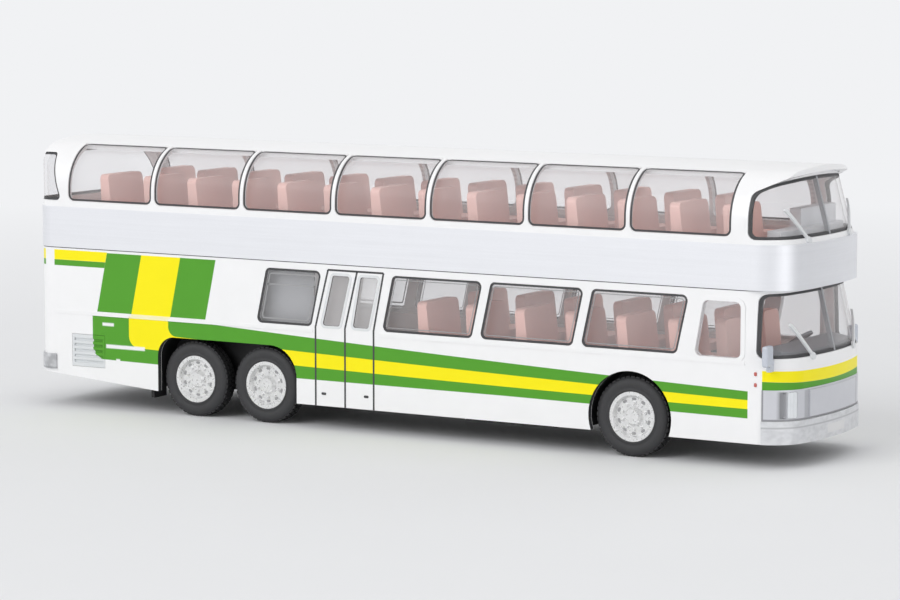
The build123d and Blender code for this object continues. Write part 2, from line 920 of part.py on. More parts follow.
stair_block.part.label = "stair_block"
export_step(stair_block.part, "parts/stair_block.step")

# Cab: dashboard, steering wheel and the two front seats
with BuildPart() as dashboard:
    with BuildSketch(Plane.XZ):
        with BuildLine():
            Polyline(
                (dash_rear_x, lower_seat_floor_z),
                (front_x, lower_seat_floor_z),
                (front_x, dash_top_z - dash_nose_drop),
                (dash_rear_x + dash_slope, dash_top_z),
                (dash_rear_x, dash_top_z - dash_face_drop),
                close=True,
            )
        make_face()
    extrude(amount=half_width - dash_side_gap, both=True)
    add(storey(LOWER, wall + dash_wall_gap), mode=Mode.INTERSECT)

dashboard.part.label = "dashboard"
export_step(dashboard.part, "parts/dashboard.step")

steer_centre = (dash_rear_x - steer_reach, cab_y, dash_top_z - steer_drop)
steer_plane = Plane(origin=steer_centre, z_dir=steer_tilt)
with BuildPart() as steering_wheel:
    with BuildSketch(steer_plane):
        Circle(steer_radius)
        Circle(steer_radius - steer_rim, mode=Mode.SUBTRACT)
        Rectangle(2 * steer_radius - steer_rim, steer_spoke)
        Circle(steer_boss)
    extrude(amount=steer_thick)
    with BuildSketch(steer_plane):
        Circle(steer_column)
    extrude(amount=-steer_column_length)
    add(dashboard.part, mode=Mode.SUBTRACT)

steering_wheel.part.label = "steering_wheel"
export_step(steering_wheel.part, "parts/steering_wheel.step")

with BuildPart() as cab_seats:
    for y in (-cab_y, cab_y):
        bay = (y - cab_seat_half, y + cab_seat_half)
        cab_seat_x = front_x - cab_seat_setback
        add(seat_block(cab_seat_x, bay, lower_seat_floor_z, cab_cushion_z, lower_seat_top_z))

cab_seats.part.label = "cab_seats"
export_step(cab_seats.part, "parts/cab_seats.step")

# Chassis: kicked-up plate with wheel-well liners, axle bearings and relief below
plate_kick_x = rear_arch_rear_x - plate_kick_gap
plate_rise_x = plate_kick_x - plate_kick_run
bearing_outer_y = well_inner_y - liner_wall - bearing_side_gap
bearing_y = bearing_outer_y - bearing_width / 2
rail_ends = (rear_arch_rear_x + rail_tail_gap, front_axle_x + rail_nose_run)
gearbox_ends = (-gearbox_half_length, gearbox_half_length)
gearbox_sides = (-gearbox_half_width, gearbox_half_width)
tank_ends = (tank_rear_x, tank_front_x)
tank_sides = (tank_side_gap - half_width, -tank_inner_y)

with BuildPart() as chassis:
    with BuildSketch(Plane.XZ):
        with BuildLine():
            Polyline(
                (front_x, plate_low_z),
                (front_x, plate_high_z),
                (plate_kick_x, plate_high_z),
                (plate_rise_x, plate_tail_low_z + plate_thick),
                (rear_x, plate_tail_low_z + plate_thick),
                (rear_x, plate_tail_low_z),
                (plate_rise_x, plate_tail_low_z),
                (plate_kick_x, plate_low_z),
                close=True,
            )
        make_face()
    extrude(amount=half_width, both=True)
    for well in (front_arch(liner_wall), rear_arch(liner_wall)):
        for side in SIDES:
            outer = span_box(
                (rear_x, front_x),
                sorted((side * (well_inner_y - liner_wall), side * half_width)),
                (plate_low_z, crown_z),
            )
            add(well & outer)
    for well in (front_arch(), rear_arch()):
        for side in SIDES:
            outer = span_box(
                (rear_x, front_x),
                sorted((side * well_inner_y, side * (half_width + overrun))),
                (0, crown_z),
            )
            add(well & outer, mode=Mode.SUBTRACT)
    for x in AXLES.values():
        for side in SIDES:
            with Locations((x, side * bearing_y, (plate_low_z + bearing_top_z) / 2)):
                Box(2 * bearing_half, bearing_width, bearing_top_z - plate_low_z)
    for side in SIDES:
        rail = sorted((side * (rail_y - rail_width / 2), side * (rail_y + rail_width / 2)))
        add(span_box(rail_ends, rail, (plate_low_z - rail_drop, plate_mid_z)))
        flap_y = wheel_face_y - flap_inset
        with Locations(
            (rear_arch_rear_x - flap_gap, side * flap_y, (flap_low_z + plate_high_z) / 2)
        ):
            Box(flap_thick, flap_width, plate_high_z - flap_low_z)
    for ends, sides in ((gearbox_ends, gearbox_sides), (tank_ends, tank_sides)):
        add(span_box(ends, sides, (relief_low_z, plate_mid_z)))
    for x in AXLES.values():
        with BuildSketch(Plane.XZ):
            with Locations((x, axle_z)):
                Circle(axle_radius + axle_play)
        extrude(amount=half_width, both=True, mode=Mode.SUBTRACT)
    add(storey(UPRIGHT, wall + fit), mode=Mode.INTERSECT)

chassis.part.label = "chassis"
export_step(chassis.part, "parts/chassis.step")


# Front mask: silver panel round the nose with a raised middle, lamp openings and side slots
def nose_column(y_range, z_range, corner):
    """Upright rounded column on both sides of the nose, run back along X."""
    (y0, y1), (z0, z1) = y_range, z_range
    with BuildPart() as column:
        with BuildSketch(Plane.YZ.offset(mask_side_x)):
            for side in SIDES:
                with Locations((side * (y0 + y1) / 2, (z0 + z1) / 2)):
                    RectangleRounded(y1 - y0, z1 - z0, corner)
        extrude(amount=mask_wrap + overrun)
    return column.part


lamp_outer_y = half_width - lamp_outer_gap
lamp_inner_y = lamp_outer_y - lamp_width
lamp_span = (mask_low_z + lamp_edge, mask_high_z - lamp_edge)
slot_outer_y = lamp_outer_y + slot_gap + slot_width
panel_half = half_width - panel_side_gap
mask_skin = storey(LOWER, -mask_proud) - storey(LOWER, mask_seat)
panel_block = span_box(
    (mask_side_x, front_x + overrun),
    (-panel_half, panel_half),
    (mask_low_z + panel_edge, mask_high_z - panel_edge),
)
slot_floor = storey(LOWER, -mask_proud) - storey(LOWER, slot_depth - mask_proud)
with BuildPart() as front_mask:
    add(mask_skin & mask_zone)
    add((storey(LOWER, -panel_proud) - storey(LOWER, mask_seat)) & panel_block)
    lamp_hole = (lamp_inner_y - fit, lamp_outer_y + fit), (lamp_span[0] - fit, lamp_span[1] + fit)
    add(nose_column(*lamp_hole, lamp_corner + fit), mode=Mode.SUBTRACT)
    slots = nose_column((slot_outer_y - slot_width, slot_outer_y), lamp_span, lamp_corner)
    add(slot_floor & slots, mode=Mode.SUBTRACT)

front_mask.part.label = "front_mask"
export_step(front_mask.part, "parts/front_mask.step")

# Headlamps: upright lenses in the mask's openings
with BuildPart() as headlamps:
    add(nose_column((lamp_inner_y, lamp_outer_y), lamp_span, lamp_corner))
    add(mask_skin, mode=Mode.INTERSECT)

headlamps.part.label = "headlamps"
export_step(headlamps.part, "parts/headlamps.step")

# Bumpers: wrapped bars at the nose and the tail
bumper_skin = storey(UPRIGHT, -bumper_proud) - storey(UPRIGHT)
bumper_zones = {
    "front_bumper": across((mask_side_x, front_x + overrun), (skirt_z, mask_low_z - fit)),
    "rear_bumper": across(
        (rear_x - overrun, rear_x + rear_bumper_wrap), (rear_bumper_low_z, rear_bumper_high_z)
    ),
}
for name, zone in bumper_zones.items():
    with BuildPart() as bumper:
        add(bumper_skin & zone)
    bumper.part.label = name
    export_step(bumper.part, f"parts/{name}.step")

# Tail lamps: upright lenses on the tail
with BuildPart() as tail_lamps:
    for side in SIDES:
        with Locations(
            (rear_x - bumper_proud / 2, side * (half_width - tail_lamp_gap), tail_lamp_z)
        ):
            Box(bumper_proud, tail_lamp_width, tail_lamp_height)

tail_lamps.part.label = "tail_lamps"
export_step(tail_lamps.part, "parts/tail_lamps.step")

# Mirrors: rounded heads on short arms at the windscreen's lower corners
mirror_x = front_x - mirror_setback
mirror_foot_z = mirror_z - mirror_height / 2
for side, name in zip(SIDES, ("mirror_right", "mirror_left")):
    with BuildPart() as mirror:
        with Locations((mirror_x, side * (half_width + mirror_out), mirror_z)):
            Box(mirror_thick, mirror_width, mirror_height)
        fillet(mirror.edges(), mirror_corner)
        with Locations((mirror_x, side * (half_width - mirror_arm_inset), mirror_foot_z)):
            Box(mirror_arm_width, mirror_arm_reach, mirror_arm_height)
        add(lower_outer, mode=Mode.SUBTRACT)
    mirror.part.label = name
    export_step(mirror.part, f"parts/{name}.step")

# Wipers: an arm and blade on each pane, parked leaning outwards
# Each row: storey table, foot y, foot z, tip y, tip z
wiper_rows = {
    "lower_wipers": (LOWER, 7.2, screen_foot_z + 0.2, 11.0, screen_foot_z + 5.0),
    "upper_wipers": (UPPER, 7.2, belt_high_z + 0.4, 11.0, belt_high_z + 5.0),
}
for name, (levels, foot_y, foot_z, tip_y, tip_z) in wiper_rows.items():
    with BuildPart() as wipers:
        for side in SIDES:
            with BuildSketch(Plane.YZ.offset(brow_front_x - nose_corner)):
                with BuildLine():
                    Line((side * foot_y, foot_z), (side * tip_y, tip_z))
                trace(line_width=wiper_width)
                with Locations((side * foot_y, foot_z)):
                    Circle(wiper_boss)
            extrude(amount=brow_setback + nose_corner + overrun)
        add(storey(levels, -wiper_thick) - storey(levels), mode=Mode.INTERSECT)
    wipers.part.label = name
    export_step(wipers.part, f"parts/{name}.step")


def wheel_ring(x, side, steps):
    """Wheel part turned about its axle; steps are (radius, distance behind the outer face)."""
    profile = Plane(origin=(x, 0, axle_z), x_dir=(1, 0, 0), z_dir=(0, 0, 1))
    with BuildPart() as ring:
        with BuildSketch(profile):
            with BuildLine():
                Polyline(*[(radius, side * (wheel_face_y - back)) for radius, back in steps], close=True)
            make_face()
        revolve(axis=Axis((x, 0, axle_z), (0, 1, 0)))
    return ring.part


# Wheel sets: axle, a dished hub at each end, a tyre on each hub
hub_steps = (
    (0, hub_face_drop),
    (hub_cap_radius, hub_face_drop),
    (hub_dish_inner, hub_dish_depth),
    (hub_dish_outer, hub_dish_depth),
    (hub_rim_inner, hub_face_drop),
    (hub_radius, hub_face_drop),
    (hub_radius, hub_depth),
    (axle_radius, hub_depth),
    (axle_radius, axle_end_drop),
    (0, axle_end_drop),
)
tyre_steps = (
    (hub_radius, tyre_bead_drop),
    (tyre_radius - tyre_shoulder, 0),
    (tyre_radius, tyre_shoulder_drop),
    (tyre_radius, tyre_width - tyre_bead_drop),
    (hub_radius, tyre_width),
)
for label, x in AXLES.items():
    with BuildPart() as axle:
        with BuildSketch(Plane.XZ):
            with Locations((x, axle_z)):
                Circle(axle_radius)
        extrude(amount=wheel_face_y - axle_end_drop, both=True)
    axle.part.label = f"{label}_axle_shaft"
    export_step(axle.part, f"parts/{label}_axle_shaft.step")

    for kind, steps in (("hubs", hub_steps), ("tyres", tyre_steps)):
        with BuildPart() as wheel_pair:
            for side in SIDES:
                add(wheel_ring(x, side, steps))
        wheel_pair.part.label = f"{label}_{kind}"
        export_step(wheel_pair.part, f"parts/{label}_{kind}.step")
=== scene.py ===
"""Looks of a 1:87 scale model double-deck touring coach, laid out as an add-on.

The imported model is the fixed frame. Lengths in this file are millimetres in that frame
unless a comment says otherwise, and meshes are written in metres.
"""

import math

import bmesh
import bpy
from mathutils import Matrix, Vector


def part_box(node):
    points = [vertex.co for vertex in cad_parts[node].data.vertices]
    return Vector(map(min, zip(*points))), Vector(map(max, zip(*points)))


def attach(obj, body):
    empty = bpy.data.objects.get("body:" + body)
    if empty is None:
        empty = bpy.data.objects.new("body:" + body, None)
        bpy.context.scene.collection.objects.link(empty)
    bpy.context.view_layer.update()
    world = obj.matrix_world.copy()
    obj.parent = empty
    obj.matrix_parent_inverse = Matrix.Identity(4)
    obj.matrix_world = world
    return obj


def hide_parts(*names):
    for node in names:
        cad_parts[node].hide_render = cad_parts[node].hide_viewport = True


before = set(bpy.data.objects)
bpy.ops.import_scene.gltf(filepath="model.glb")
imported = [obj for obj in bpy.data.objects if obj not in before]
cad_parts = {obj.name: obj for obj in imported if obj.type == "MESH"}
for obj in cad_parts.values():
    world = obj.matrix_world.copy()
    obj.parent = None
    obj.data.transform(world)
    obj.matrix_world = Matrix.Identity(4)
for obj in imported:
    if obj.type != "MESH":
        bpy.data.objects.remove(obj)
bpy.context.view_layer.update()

bl_info = {
    "name": "Scale model touring coach",
    "version": (1, 0, 0),
    "blender": (4, 5, 0),
    "location": "3D View > Sidebar > Coach",
    "description": "Finishes, printed trim and stage of a double-deck scale model coach",
    "category": "Object",
}

METRE = 0.001
PER_METRE = 1000.0
COACH = "coach_body"
SIDES = (-1, 1)
AXLES = ("front", "drive", "tag")


def box_mm(node):
    """Lowest and highest corner of a CAD node in millimetres."""
    low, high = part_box(node)
    return low * PER_METRE, high * PER_METRE


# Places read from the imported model
ROOF_HIGH = box_mm("roof_shell")[1]
SCREEN_LOW, SCREEN_HIGH = box_mm("lower_windscreen")
HIGH_SCREEN_LOW = box_mm("upper_windscreen")[0]
REAR_PANE_LOW, REAR_PANE_HIGH = box_mm("upper_rear_window")
HALF_WIDTH = ROOF_HIGH.y

# Windscreens and rear window, seen from the side
SCREEN_CORNER = 1.2
# Sloping head of the upper windscreen: its rear height, its climb and about that climb's cosine
HIGH_SCREEN_HEAD_Z = 40.4
HIGH_SCREEN_CLIMB = 0.4655
HIGH_SCREEN_SLANT = 0.9
# Side edge of the upper rear window: its foot, its lean and its corners
REAR_PANE_FOOT_X = -63.8
REAR_PANE_LEAN = 0.3117
REAR_PANE_CORNER = 0.7
# How far the side panes lie behind the wall's face
PANE_RECESS = 0.12

# Dome section and its windows
DOME_RADIUS = 7.5
DOME_SPRING_Z = 36.0
DOME_PANE_LOW_Z = 34.0
DOME_PANE_TOP_Y = 9.0
DOME_PANE_FIRST_X = -62.3
DOME_PANE_PITCH = 17.35
DOME_PANE_WIDTH = 16.75
DOME_PANE_COUNT = 7

# Lower side windows: rear foot, front foot, low z, high z, rear lean, front lean
PANE_SPAN = (16.2, 25.1, 2.0, 2.0)
SALOON_PANE_WIDTH = 16.2
STAIR_PANE = (-25.2, -14.7, *PANE_SPAN)
SALOON_PANES = tuple((x, x + SALOON_PANE_WIDTH, *PANE_SPAN) for x in (-1.6, 16.0, 33.6))
NEARSIDE_PANE = (-12.7, -3.4, *PANE_SPAN)
DOOR_PANES = (
    (-12.6, -9.4, 16.5, 24.5, 2.0, 2.0),
    (-6.95, -4.05, 16.5, 24.5, 1.5, 1.9),
)
LINED_PANES = {-1: (STAIR_PANE, *SALOON_PANES), 1: (STAIR_PANE, NEARSIDE_PANE, *SALOON_PANES)}

# Door leaves: foot x of each edge and its lean above the waist
DOOR_EDGES = ((-13.9, 2.4), (-8.4, 2.3), (-3.1, 1.85))
DOOR_WAIST_Z = 16.2
DOOR_TOP_Z = 25.35
SKIRT_Z = 3.7

# Wheels, read from a tyre's box
TYRE_LOW, TYRE_HIGH = box_mm("front_tyres")
TYRE_RADIUS = (TYRE_HIGH.z - TYRE_LOW.z) / 2
WHEEL_FACE_Y = TYRE_HIGH.y

# Camera that took the picture: place, aim and clipping in metres, lens in millimetres
CAMERA_AT = (0.27213, -0.45226, 0.08087)
CAMERA_AIM = (0.00222, 0.0, 0.01997)
CAMERA_LENS = 133.64
CAMERA_CLIP = (0.01, 20.0)


def linear(red, green, blue):
    """Linear colour of 8-bit screen values."""

    def channel(value):
        share = value / 255
        return share / 12.92 if share <= 0.04045 else ((share + 0.055) / 1.055) ** 2.4

    return (channel(red), channel(green), channel(blue))


def colour_property(name, description, screen):
    """A colour that the user can set, given as 8-bit screen values."""
    return bpy.props.FloatVectorProperty(
        name=name,
        description=description,
        subtype="COLOR",
        size=3,
        min=0.0,
        max=1.0,
        default=linear(*screen),
    )


def length_property(name, description, millimetres):
    """A length that the user can set, stored in metres."""
    return bpy.props.FloatProperty(
        name=name,
        description=description,
        unit="LENGTH",
        precision=5,
        min=0.0,
        default=millimetres * METRE,
    )


class CoachFinish(bpy.types.PropertyGroup):
    """Colours of the mouldings and prints."""

    white: colour_property("White", "Moulded white of the shells", (246, 246, 247))
    green: colour_property("Green", "Printed green bands", (84, 160, 42))
    yellow: colour_property("Yellow", "Printed yellow bands", (255, 240, 0))
    belt: colour_property("Belt", "Silver paint of the belt", (245, 246, 250))
    trim: colour_property("Trim", "Silver of the bumpers", (228, 229, 232))
    mask: colour_property("Mask", "Silver of the front mask", (216, 217, 223))
    seats: colour_property("Seats", "Moulded seat plastic", (252, 198, 186))
    # Also the grey of the bumpers' darker patches and of the painted shade along their fold
    cabin: colour_property("Cabin grey", "Console, dashboard and stair", (168, 170, 174))
    # Also the dark of painted shade on the shell's cut edges, under the belt and on the front mask,
    # and of the rear bumper's darker mottling
    line: colour_property("Window line", "Printed line round the panes", (64, 64, 66))
    rubber: colour_property("Rubber", "Tyre rubber", (50, 50, 52))
    hub: colour_property("Hub", "Silver of the wheel discs", (244, 244, 244))
    backdrop: colour_property("Backdrop", "Floor and backdrop", (241, 242, 244))


class CoachTrim(bpy.types.PropertyGroup):
    """Sizes of the printed and raised trim."""

    line_width: length_property("Window line", "Width of the line round a pane", 0.3)
    screen_line: length_property("Screen line", "Width of the line round a windscreen", 0.36)
    line_height: length_property("Print height", "How far a printed line stands proud", 0.03)
    # Width of the dark strips of painted shade in the grooves round the door leaves
    groove_shade_width: length_property("Door line", "Width of the line round a door leaf", 0.3)
    frame_width: length_property("Door frame", "Width of the frame round a door pane", 0.42)
    nut_radius: length_property("Wheel nut", "Radius of one wheel nut", 0.24)
    tread_depth: length_property("Tread depth", "Depth of the tyre's tread", 0.16)


class Graph:
    """A node tree under construction."""

    def __init__(self, tree):
        self.tree = tree

    def node(self, kind, settings=None, inputs=None, output=0):
        """Adds a node, sets it up, links or sets its inputs and gives one of its outputs."""
        made = self.tree.nodes.new(kind)
        for key, value in (settings or {}).items():
            setattr(made, key, value)
        for key, value in (inputs or {}).items():
            socket = made.inputs[key]
            if isinstance(value, Signal):
                self.tree.links.new(value.socket, socket)
            else:
                socket.default_value = value
        return Signal(self, made.outputs[output]) if made.outputs else None

    def blend(self, share, under, over, kind="MIX"):
        """Colour that goes from under to over as the share goes from 0 to 1."""
        settings = {"data_type": "RGBA", "blend_type": kind}
        return self.node("ShaderNodeMix", settings, {0: share, 6: under, 7: over}, 2)


class Signal:
    """An output of a node; arithmetic on it adds Math nodes."""

    def __init__(self, graph, socket):
        self.graph = graph
        self.socket = socket

    def other(self, name):
        """Another output of the same node."""
        return Signal(self.graph, self.socket.node.outputs[name])

    def maths(self, operation, *others, clamp=False):
        settings = {"operation": operation, "use_clamp": clamp}
        return self.graph.node("ShaderNodeMath", settings, dict(enumerate((self, *others))))

    def __add__(self, other):
        return self.maths("ADD", other)

    def __sub__(self, other):
        return self.maths("SUBTRACT", other)

    def __rsub__(self, other):
        return (self * -1.0) + other

    def __mul__(self, other):
        return self.maths("MULTIPLY", other)

    def __truediv__(self, other):
        return self.maths("DIVIDE", other)

    __radd__ = __add__
    __rmul__ = __mul__

    def __abs__(self):
        return self.maths("ABSOLUTE")

    def root(self):
        return self.maths("SQRT")

    def most(self, other):
        return self.maths("MAXIMUM", other)

    def least(self, other):
        return self.maths("MINIMUM", other)

    def over(self, edge, soft=0.05):
        """1 above the edge and 0 below it, with a soft step between."""
        return ((self - edge) * (1.0 / soft)).maths("ADD", 0.5, clamp=True)

    def between(self, low, high, soft=0.05):
        """1 between two edges and 0 outside them."""
        return self.over(low, soft) * (1 - self.over(high, soft))


class Recipe(Graph):
    """A material under construction."""

    def __init__(self, name):
        self.material = bpy.data.materials.new(name)
        self.material.use_nodes = True
        super().__init__(self.material.node_tree)
        self.tree.nodes.clear()
        place = self.node("ShaderNodeTexCoord", output="Object")
        settings = {"operation": "SCALE"}
        self.place = self.node(
            "ShaderNodeVectorMath", settings, {0: place, "Scale": PER_METRE}
        )
        self.x = self.node("ShaderNodeSeparateXYZ", None, {0: self.place}, "X")
        self.y = self.x.other("Y")
        self.z = self.x.other("Z")

    def noise(self, scale, detail=3.0, stretch=(1.0, 1.0, 1.0)):
        """Noise in millimetres, drawn out along the axes by a stretch."""
        inputs = {"Vector": self.place, "Scale": stretch}
        turned = self.node("ShaderNodeMapping", None, inputs)
        inputs = {"Vector": turned, "Scale": scale, "Detail": detail}
        return self.node("ShaderNodeTexNoise", None, inputs)

    def bump(self, height, distance):
        """Normal that is roughened by a height, over a distance in millimetres."""
        inputs = {"Height": height, "Distance": distance * METRE, "Strength": 1.0}
        return self.node("ShaderNodeBump", None, inputs)

    def shiny(self, inputs):
        return self.node("ShaderNodeBsdfPrincipled", None, inputs)

    def show(self, shader):
        self.node("ShaderNodeOutputMaterial", None, {"Surface": shader})
        return self.material


def rgba(colour, gain=1.0):
    """Colour of a property as a socket takes it."""
    return (*(channel * gain for channel in colour), 1.0)


def finish():
    """The colours that the user can set."""
    return bpy.context.scene.coach_finish


def trim(name):
    """One of the trim's sizes in millimetres."""
    return getattr(bpy.context.scene.coach_trim, name) * PER_METRE


# Materials: each function below makes one finish

# Noises of the finishes: features in a millimetre, and detail
PLASTIC_CLOUD = (0.35, 4.0)
PLASTIC_SKIN = (9.0, 2.0)
SHELL_CLOUD = (0.3, 4.0)
SHELL_SKIN = (7.0, 2.0)
SILVER_SWEEP = (0.5, 3.0)
SILVER_FLAKES = (20.0, 2.0)
BELT_STREAKS = (1.0, 4.0)
MASK_CLOUD = (0.7, 3.0)
BUMPER_PATCHES = (0.7, 2.0)
GLASS_CLOUD = (0.2, 3.0)
TYRE_DUST = (1.6, 4.0)
TYRE_SKIN = (14.0, 2.0)
LENS_CLOUD = (0.8, 3.0)
FLOOR_CLOUD = (0.05, 3.0)
# Depths of their grain
PLASTIC_GRAIN = 0.004
FLAKE_GRAIN = 0.003
RUBBER_GRAIN = 0.006


def corner_gap(first, second, radius):
    """Distance inside two edges that meet in a round corner, up to its radius."""
    beside = (radius - first).most(0.0)
    under = (radius - second).most(0.0)
    return radius - (beside * beside + under * under).root()


def moulded(name, colour, roughness, coat=0.0, tint=0.06):
    """Moulded plastic: faint cloudiness in its colour, a satin skin and a fine grain."""
    recipe = Recipe(name)
    cloud = recipe.noise(*PLASTIC_CLOUD)
    fine = recipe.noise(*PLASTIC_SKIN)
    base = recipe.blend(cloud, rgba(colour, 1.0 - tint), rgba(colour, 1.0))
    inputs = {
        "Base Color": base,
        "Roughness": roughness + (cloud - 0.5) * 0.12,
        "Coat Weight": coat,
        "Normal": recipe.bump(fine, PLASTIC_GRAIN),
    }
    return recipe.show(recipe.shiny(inputs))


# Printed bands: heights of the edges along the side, as z at 0, slope and curve
GREEN_TOP = (13.70, -0.0438, 0.000118)
GREEN_LOW = (11.564, -0.0280, 0.000079)
YELLOW_LOW = (9.456, -0.0163, 0.000098)
BAND_FOOT = 7.75
# The bands' foot rises behind one place and falls ahead of another: x, slope
BAND_REAR = (-18.0, 0.0115)
BAND_NOSE = (20.0, 0.0075)
BAND_END_X = 61.5
# Slanted block: its top, its lean, the height it leans from, and how far below that it steps
BLOCK_TOP_Z = 25.75
BLOCK_LEAN = 0.215
BLOCK_FOOT_Z = 16.0
BLOCK_STEP = 0.4
# White gap at the waist, a raised moulding left unprinted: its heights, its front end, and how much
# of the yellow shows on it, the paler yellow there being a painted highlight
WAIST_GAP = (15.3, 16.0)
WAIST_END_X = -34.0
WAIST_YELLOW = 0.4
# Left edges of the slanted block: foot above the waist, foot below it, corner radius
BLOCK_EDGES = (
    (-56.65, -57.6, 2.2),
    (-49.72, -50.25, 1.9),
    (-41.98, -42.4, 1.5),
    (-35.05, -35.2, 0.3),
)
# Short bands at the tail: their heights, the rear corner where they are left white as a painted
# highlight, and their front end
TAIL_YELLOW = (24.2, 25.85)
TAIL_GREEN = (23.25, 24.2)
TAIL_CORNER_HIGHLIGHT = (-67.3, -65.3)
TAIL_END_X = -45.0
# Bands round the nose: where they start, and edges as z at the middle and rise to the sides
NOSE_BAND_X = 63.7
NOSE_YELLOW_TOP = (14.3, 0.3)
NOSE_SPLIT = (12.5, 0.5)
NOSE_GREEN_LOW = 11.7
# White marks in the lower green: rear x, front x, low z, high z
WHITE_MARKS = (
    (-55.6, -53.3, 13.75, 14.25),
    (-54.9, -47.1, 10.1, 10.7),
    (-52.9, -52.1, 7.5, 8.4),
)
MARK_SOFT = 0.2
# Cut edges of the flanks, painted dark as shade in their recesses: how deep they lie, and where along
# the side
CUT_DEPTH = (0.05, 0.92)
CUT_RUN = (-65.8, 51.8)
CUT_SOFT = 0.02
# Height above which the shell's top edge is painted dark, a painted shadow under the belt
BELT_SHADOW_Z = 26.16
# How far below the flank's face the print reaches, on the shell and on the louvre panels
SHELL_REACH = 0.2
LOUVRE_REACH = 1.2


def curve_height(x, edge):
    """Height of a band's edge at a place along the side."""
    start, slope, curve = edge
    return (x * curve + slope) * x + start


def livery_colour(recipe, paint, white, reach):
    """Shell colour with its printed green and yellow bands."""
    x, y, z = recipe.x, recipe.y, recipe.z
    green, yellow = rgba(paint.green), rgba(paint.yellow)
    foot = BAND_FOOT + (BAND_REAR[0] - x).most(0.0) * BAND_REAR[1]
    foot = foot - (x - BAND_NOSE[0]).most(0.0) * BAND_NOSE[1]
    levels = (
        foot,
        curve_height(x, YELLOW_LOW),
        curve_height(x, GREEN_LOW),
        curve_height(x, GREEN_TOP),
    )
    above = z.over(BLOCK_FOOT_Z - BLOCK_STEP)
    rise = (z - BLOCK_FOOT_Z).most(0.0) * BLOCK_LEAN
    regions = []
    for level, (foot_above, foot_below, radius) in zip(levels, BLOCK_EDGES):
        edge = above * (foot_above - foot_below) + foot_below + rise
        regions.append(corner_gap(x - edge, z - level, radius).over(0.0))
    colour = recipe.blend(regions[0], white, green)
    colour = recipe.blend(regions[1], colour, yellow)
    colour = recipe.blend(regions[2], colour, green)
    colour = recipe.blend(regions[3], colour, white)
    gap = z.between(*WAIST_GAP) * (1 - x.over(WAIST_END_X))
    # Over the yellow the gap is paler yellow: a painted highlight on the raised moulding
    gap = gap * (1 - (regions[1] - regions[2]) * WAIST_YELLOW)
    for rear, front, low, high in WHITE_MARKS:
        mark = x.between(rear, front, MARK_SOFT) * z.between(low, high, MARK_SOFT)
        gap = gap.most(mark)
    colour = recipe.blend(gap, colour, white)
    flank = abs(y).over(HALF_WIDTH - reach) * (1 - x.over(BAND_END_X))
    colour = recipe.blend(flank * (1 - z.over(BLOCK_TOP_Z)), white, colour)
    # The tail bands are left white over the rear corner: a painted highlight
    behind = (1 - regions[0]) * (1 - x.over(TAIL_END_X)) * (1 - x.between(*TAIL_CORNER_HIGHLIGHT))
    colour = recipe.blend(behind * z.between(*TAIL_YELLOW), colour, yellow)
    colour = recipe.blend(behind * z.between(*TAIL_GREEN), colour, green)
    across = abs(y) * (1.0 / HALF_WIDTH)
    bow = across * across
    top = bow * NOSE_YELLOW_TOP[1] + NOSE_YELLOW_TOP[0]
    split = bow * NOSE_SPLIT[1] + NOSE_SPLIT[0]
    nose = x.over(NOSE_BAND_X)
    colour = recipe.blend(nose * z.between(split, top), colour, yellow)
    return recipe.blend(nose * z.between(NOSE_GREEN_LOW, split), colour, green)


def cut_edges(recipe):
    """1 on the cut edges of the flanks, where shade is painted: window reveals, door grooves and
    wheel arches.
    """
    depth = HALF_WIDTH - abs(recipe.y)
    return depth.between(*CUT_DEPTH, CUT_SOFT) * recipe.x.between(*CUT_RUN)


def livery_plastic(name, paint, base, reach=SHELL_REACH, shade_edges=True):
    """Satin plastic under the printed bands, with painted shade on its cut edges and on its top edge
    under the belt if asked for.
    """
    recipe = Recipe(name)
    cloud = recipe.noise(*SHELL_CLOUD)
    fine = recipe.noise(*SHELL_SKIN)
    colour = livery_colour(recipe, paint, rgba(base), reach)
    if shade_edges:
        # Painted shade: dark in the recesses of the cut edges and on the top edge under the belt
        ink_and_shade = cut_edges(recipe).most(recipe.z.over(BELT_SHADOW_Z))
        colour = recipe.blend(ink_and_shade, colour, rgba(paint.line))
    shade = recipe.blend(cloud, (0.95, 0.95, 0.95, 1.0), (1.0, 1.0, 1.0, 1.0))
    inputs = {
        "Base Color": recipe.blend(1.0, colour, shade, "MULTIPLY"),
        "Roughness": 0.34 + (cloud - 0.5) * 0.14,
        "Specular IOR Level": 0.3,
        "Normal": recipe.bump(fine, PLASTIC_GRAIN),
    }
    return recipe.show(recipe.shiny(inputs))


# Sweep of the silver paint: how its noise is drawn out
SWEEP_STRETCH = (0.25, 1.0, 1.6)
# Level streaks of the belt, a painted reflection in the silver: how its noise is drawn out, and how
# dark they are
STREAK_STRETCH = (0.04, 0.04, 3.2)
STREAK_SHADE = 0.6


def silver_paint(name, colour, roughness, flake=0.18, metallic=0.75, reflection_share=0.0, grain=22.0):
    """Silver paint: fine metal flake that breaks up its shine, and level streaks of painted
    reflection if asked for.
    """
    recipe = Recipe(name)
    flakes = recipe.noise(grain, 2.0)
    sweep = recipe.noise(*SILVER_SWEEP, SWEEP_STRETCH)
    base = recipe.blend(flakes, rgba(colour, 1.0 - flake), rgba(colour, 1.0))
    base = recipe.blend(sweep * 0.25, base, rgba(colour, 1.05))
    if reflection_share:
        # Painted reflection: darker level streaks across the silver
        reflection_bands = recipe.noise(*BELT_STREAKS, STREAK_STRETCH).over(0.5, 0.5)
        base = recipe.blend(reflection_bands * reflection_share, base, rgba(colour, STREAK_SHADE))
    inputs = {
        "Base Color": base,
        "Metallic": metallic,
        "Roughness": roughness + (flakes - 0.5) * 0.2,
        "Normal": recipe.bump(flakes, FLAKE_GRAIN),
    }
    return recipe.show(recipe.shiny(inputs))


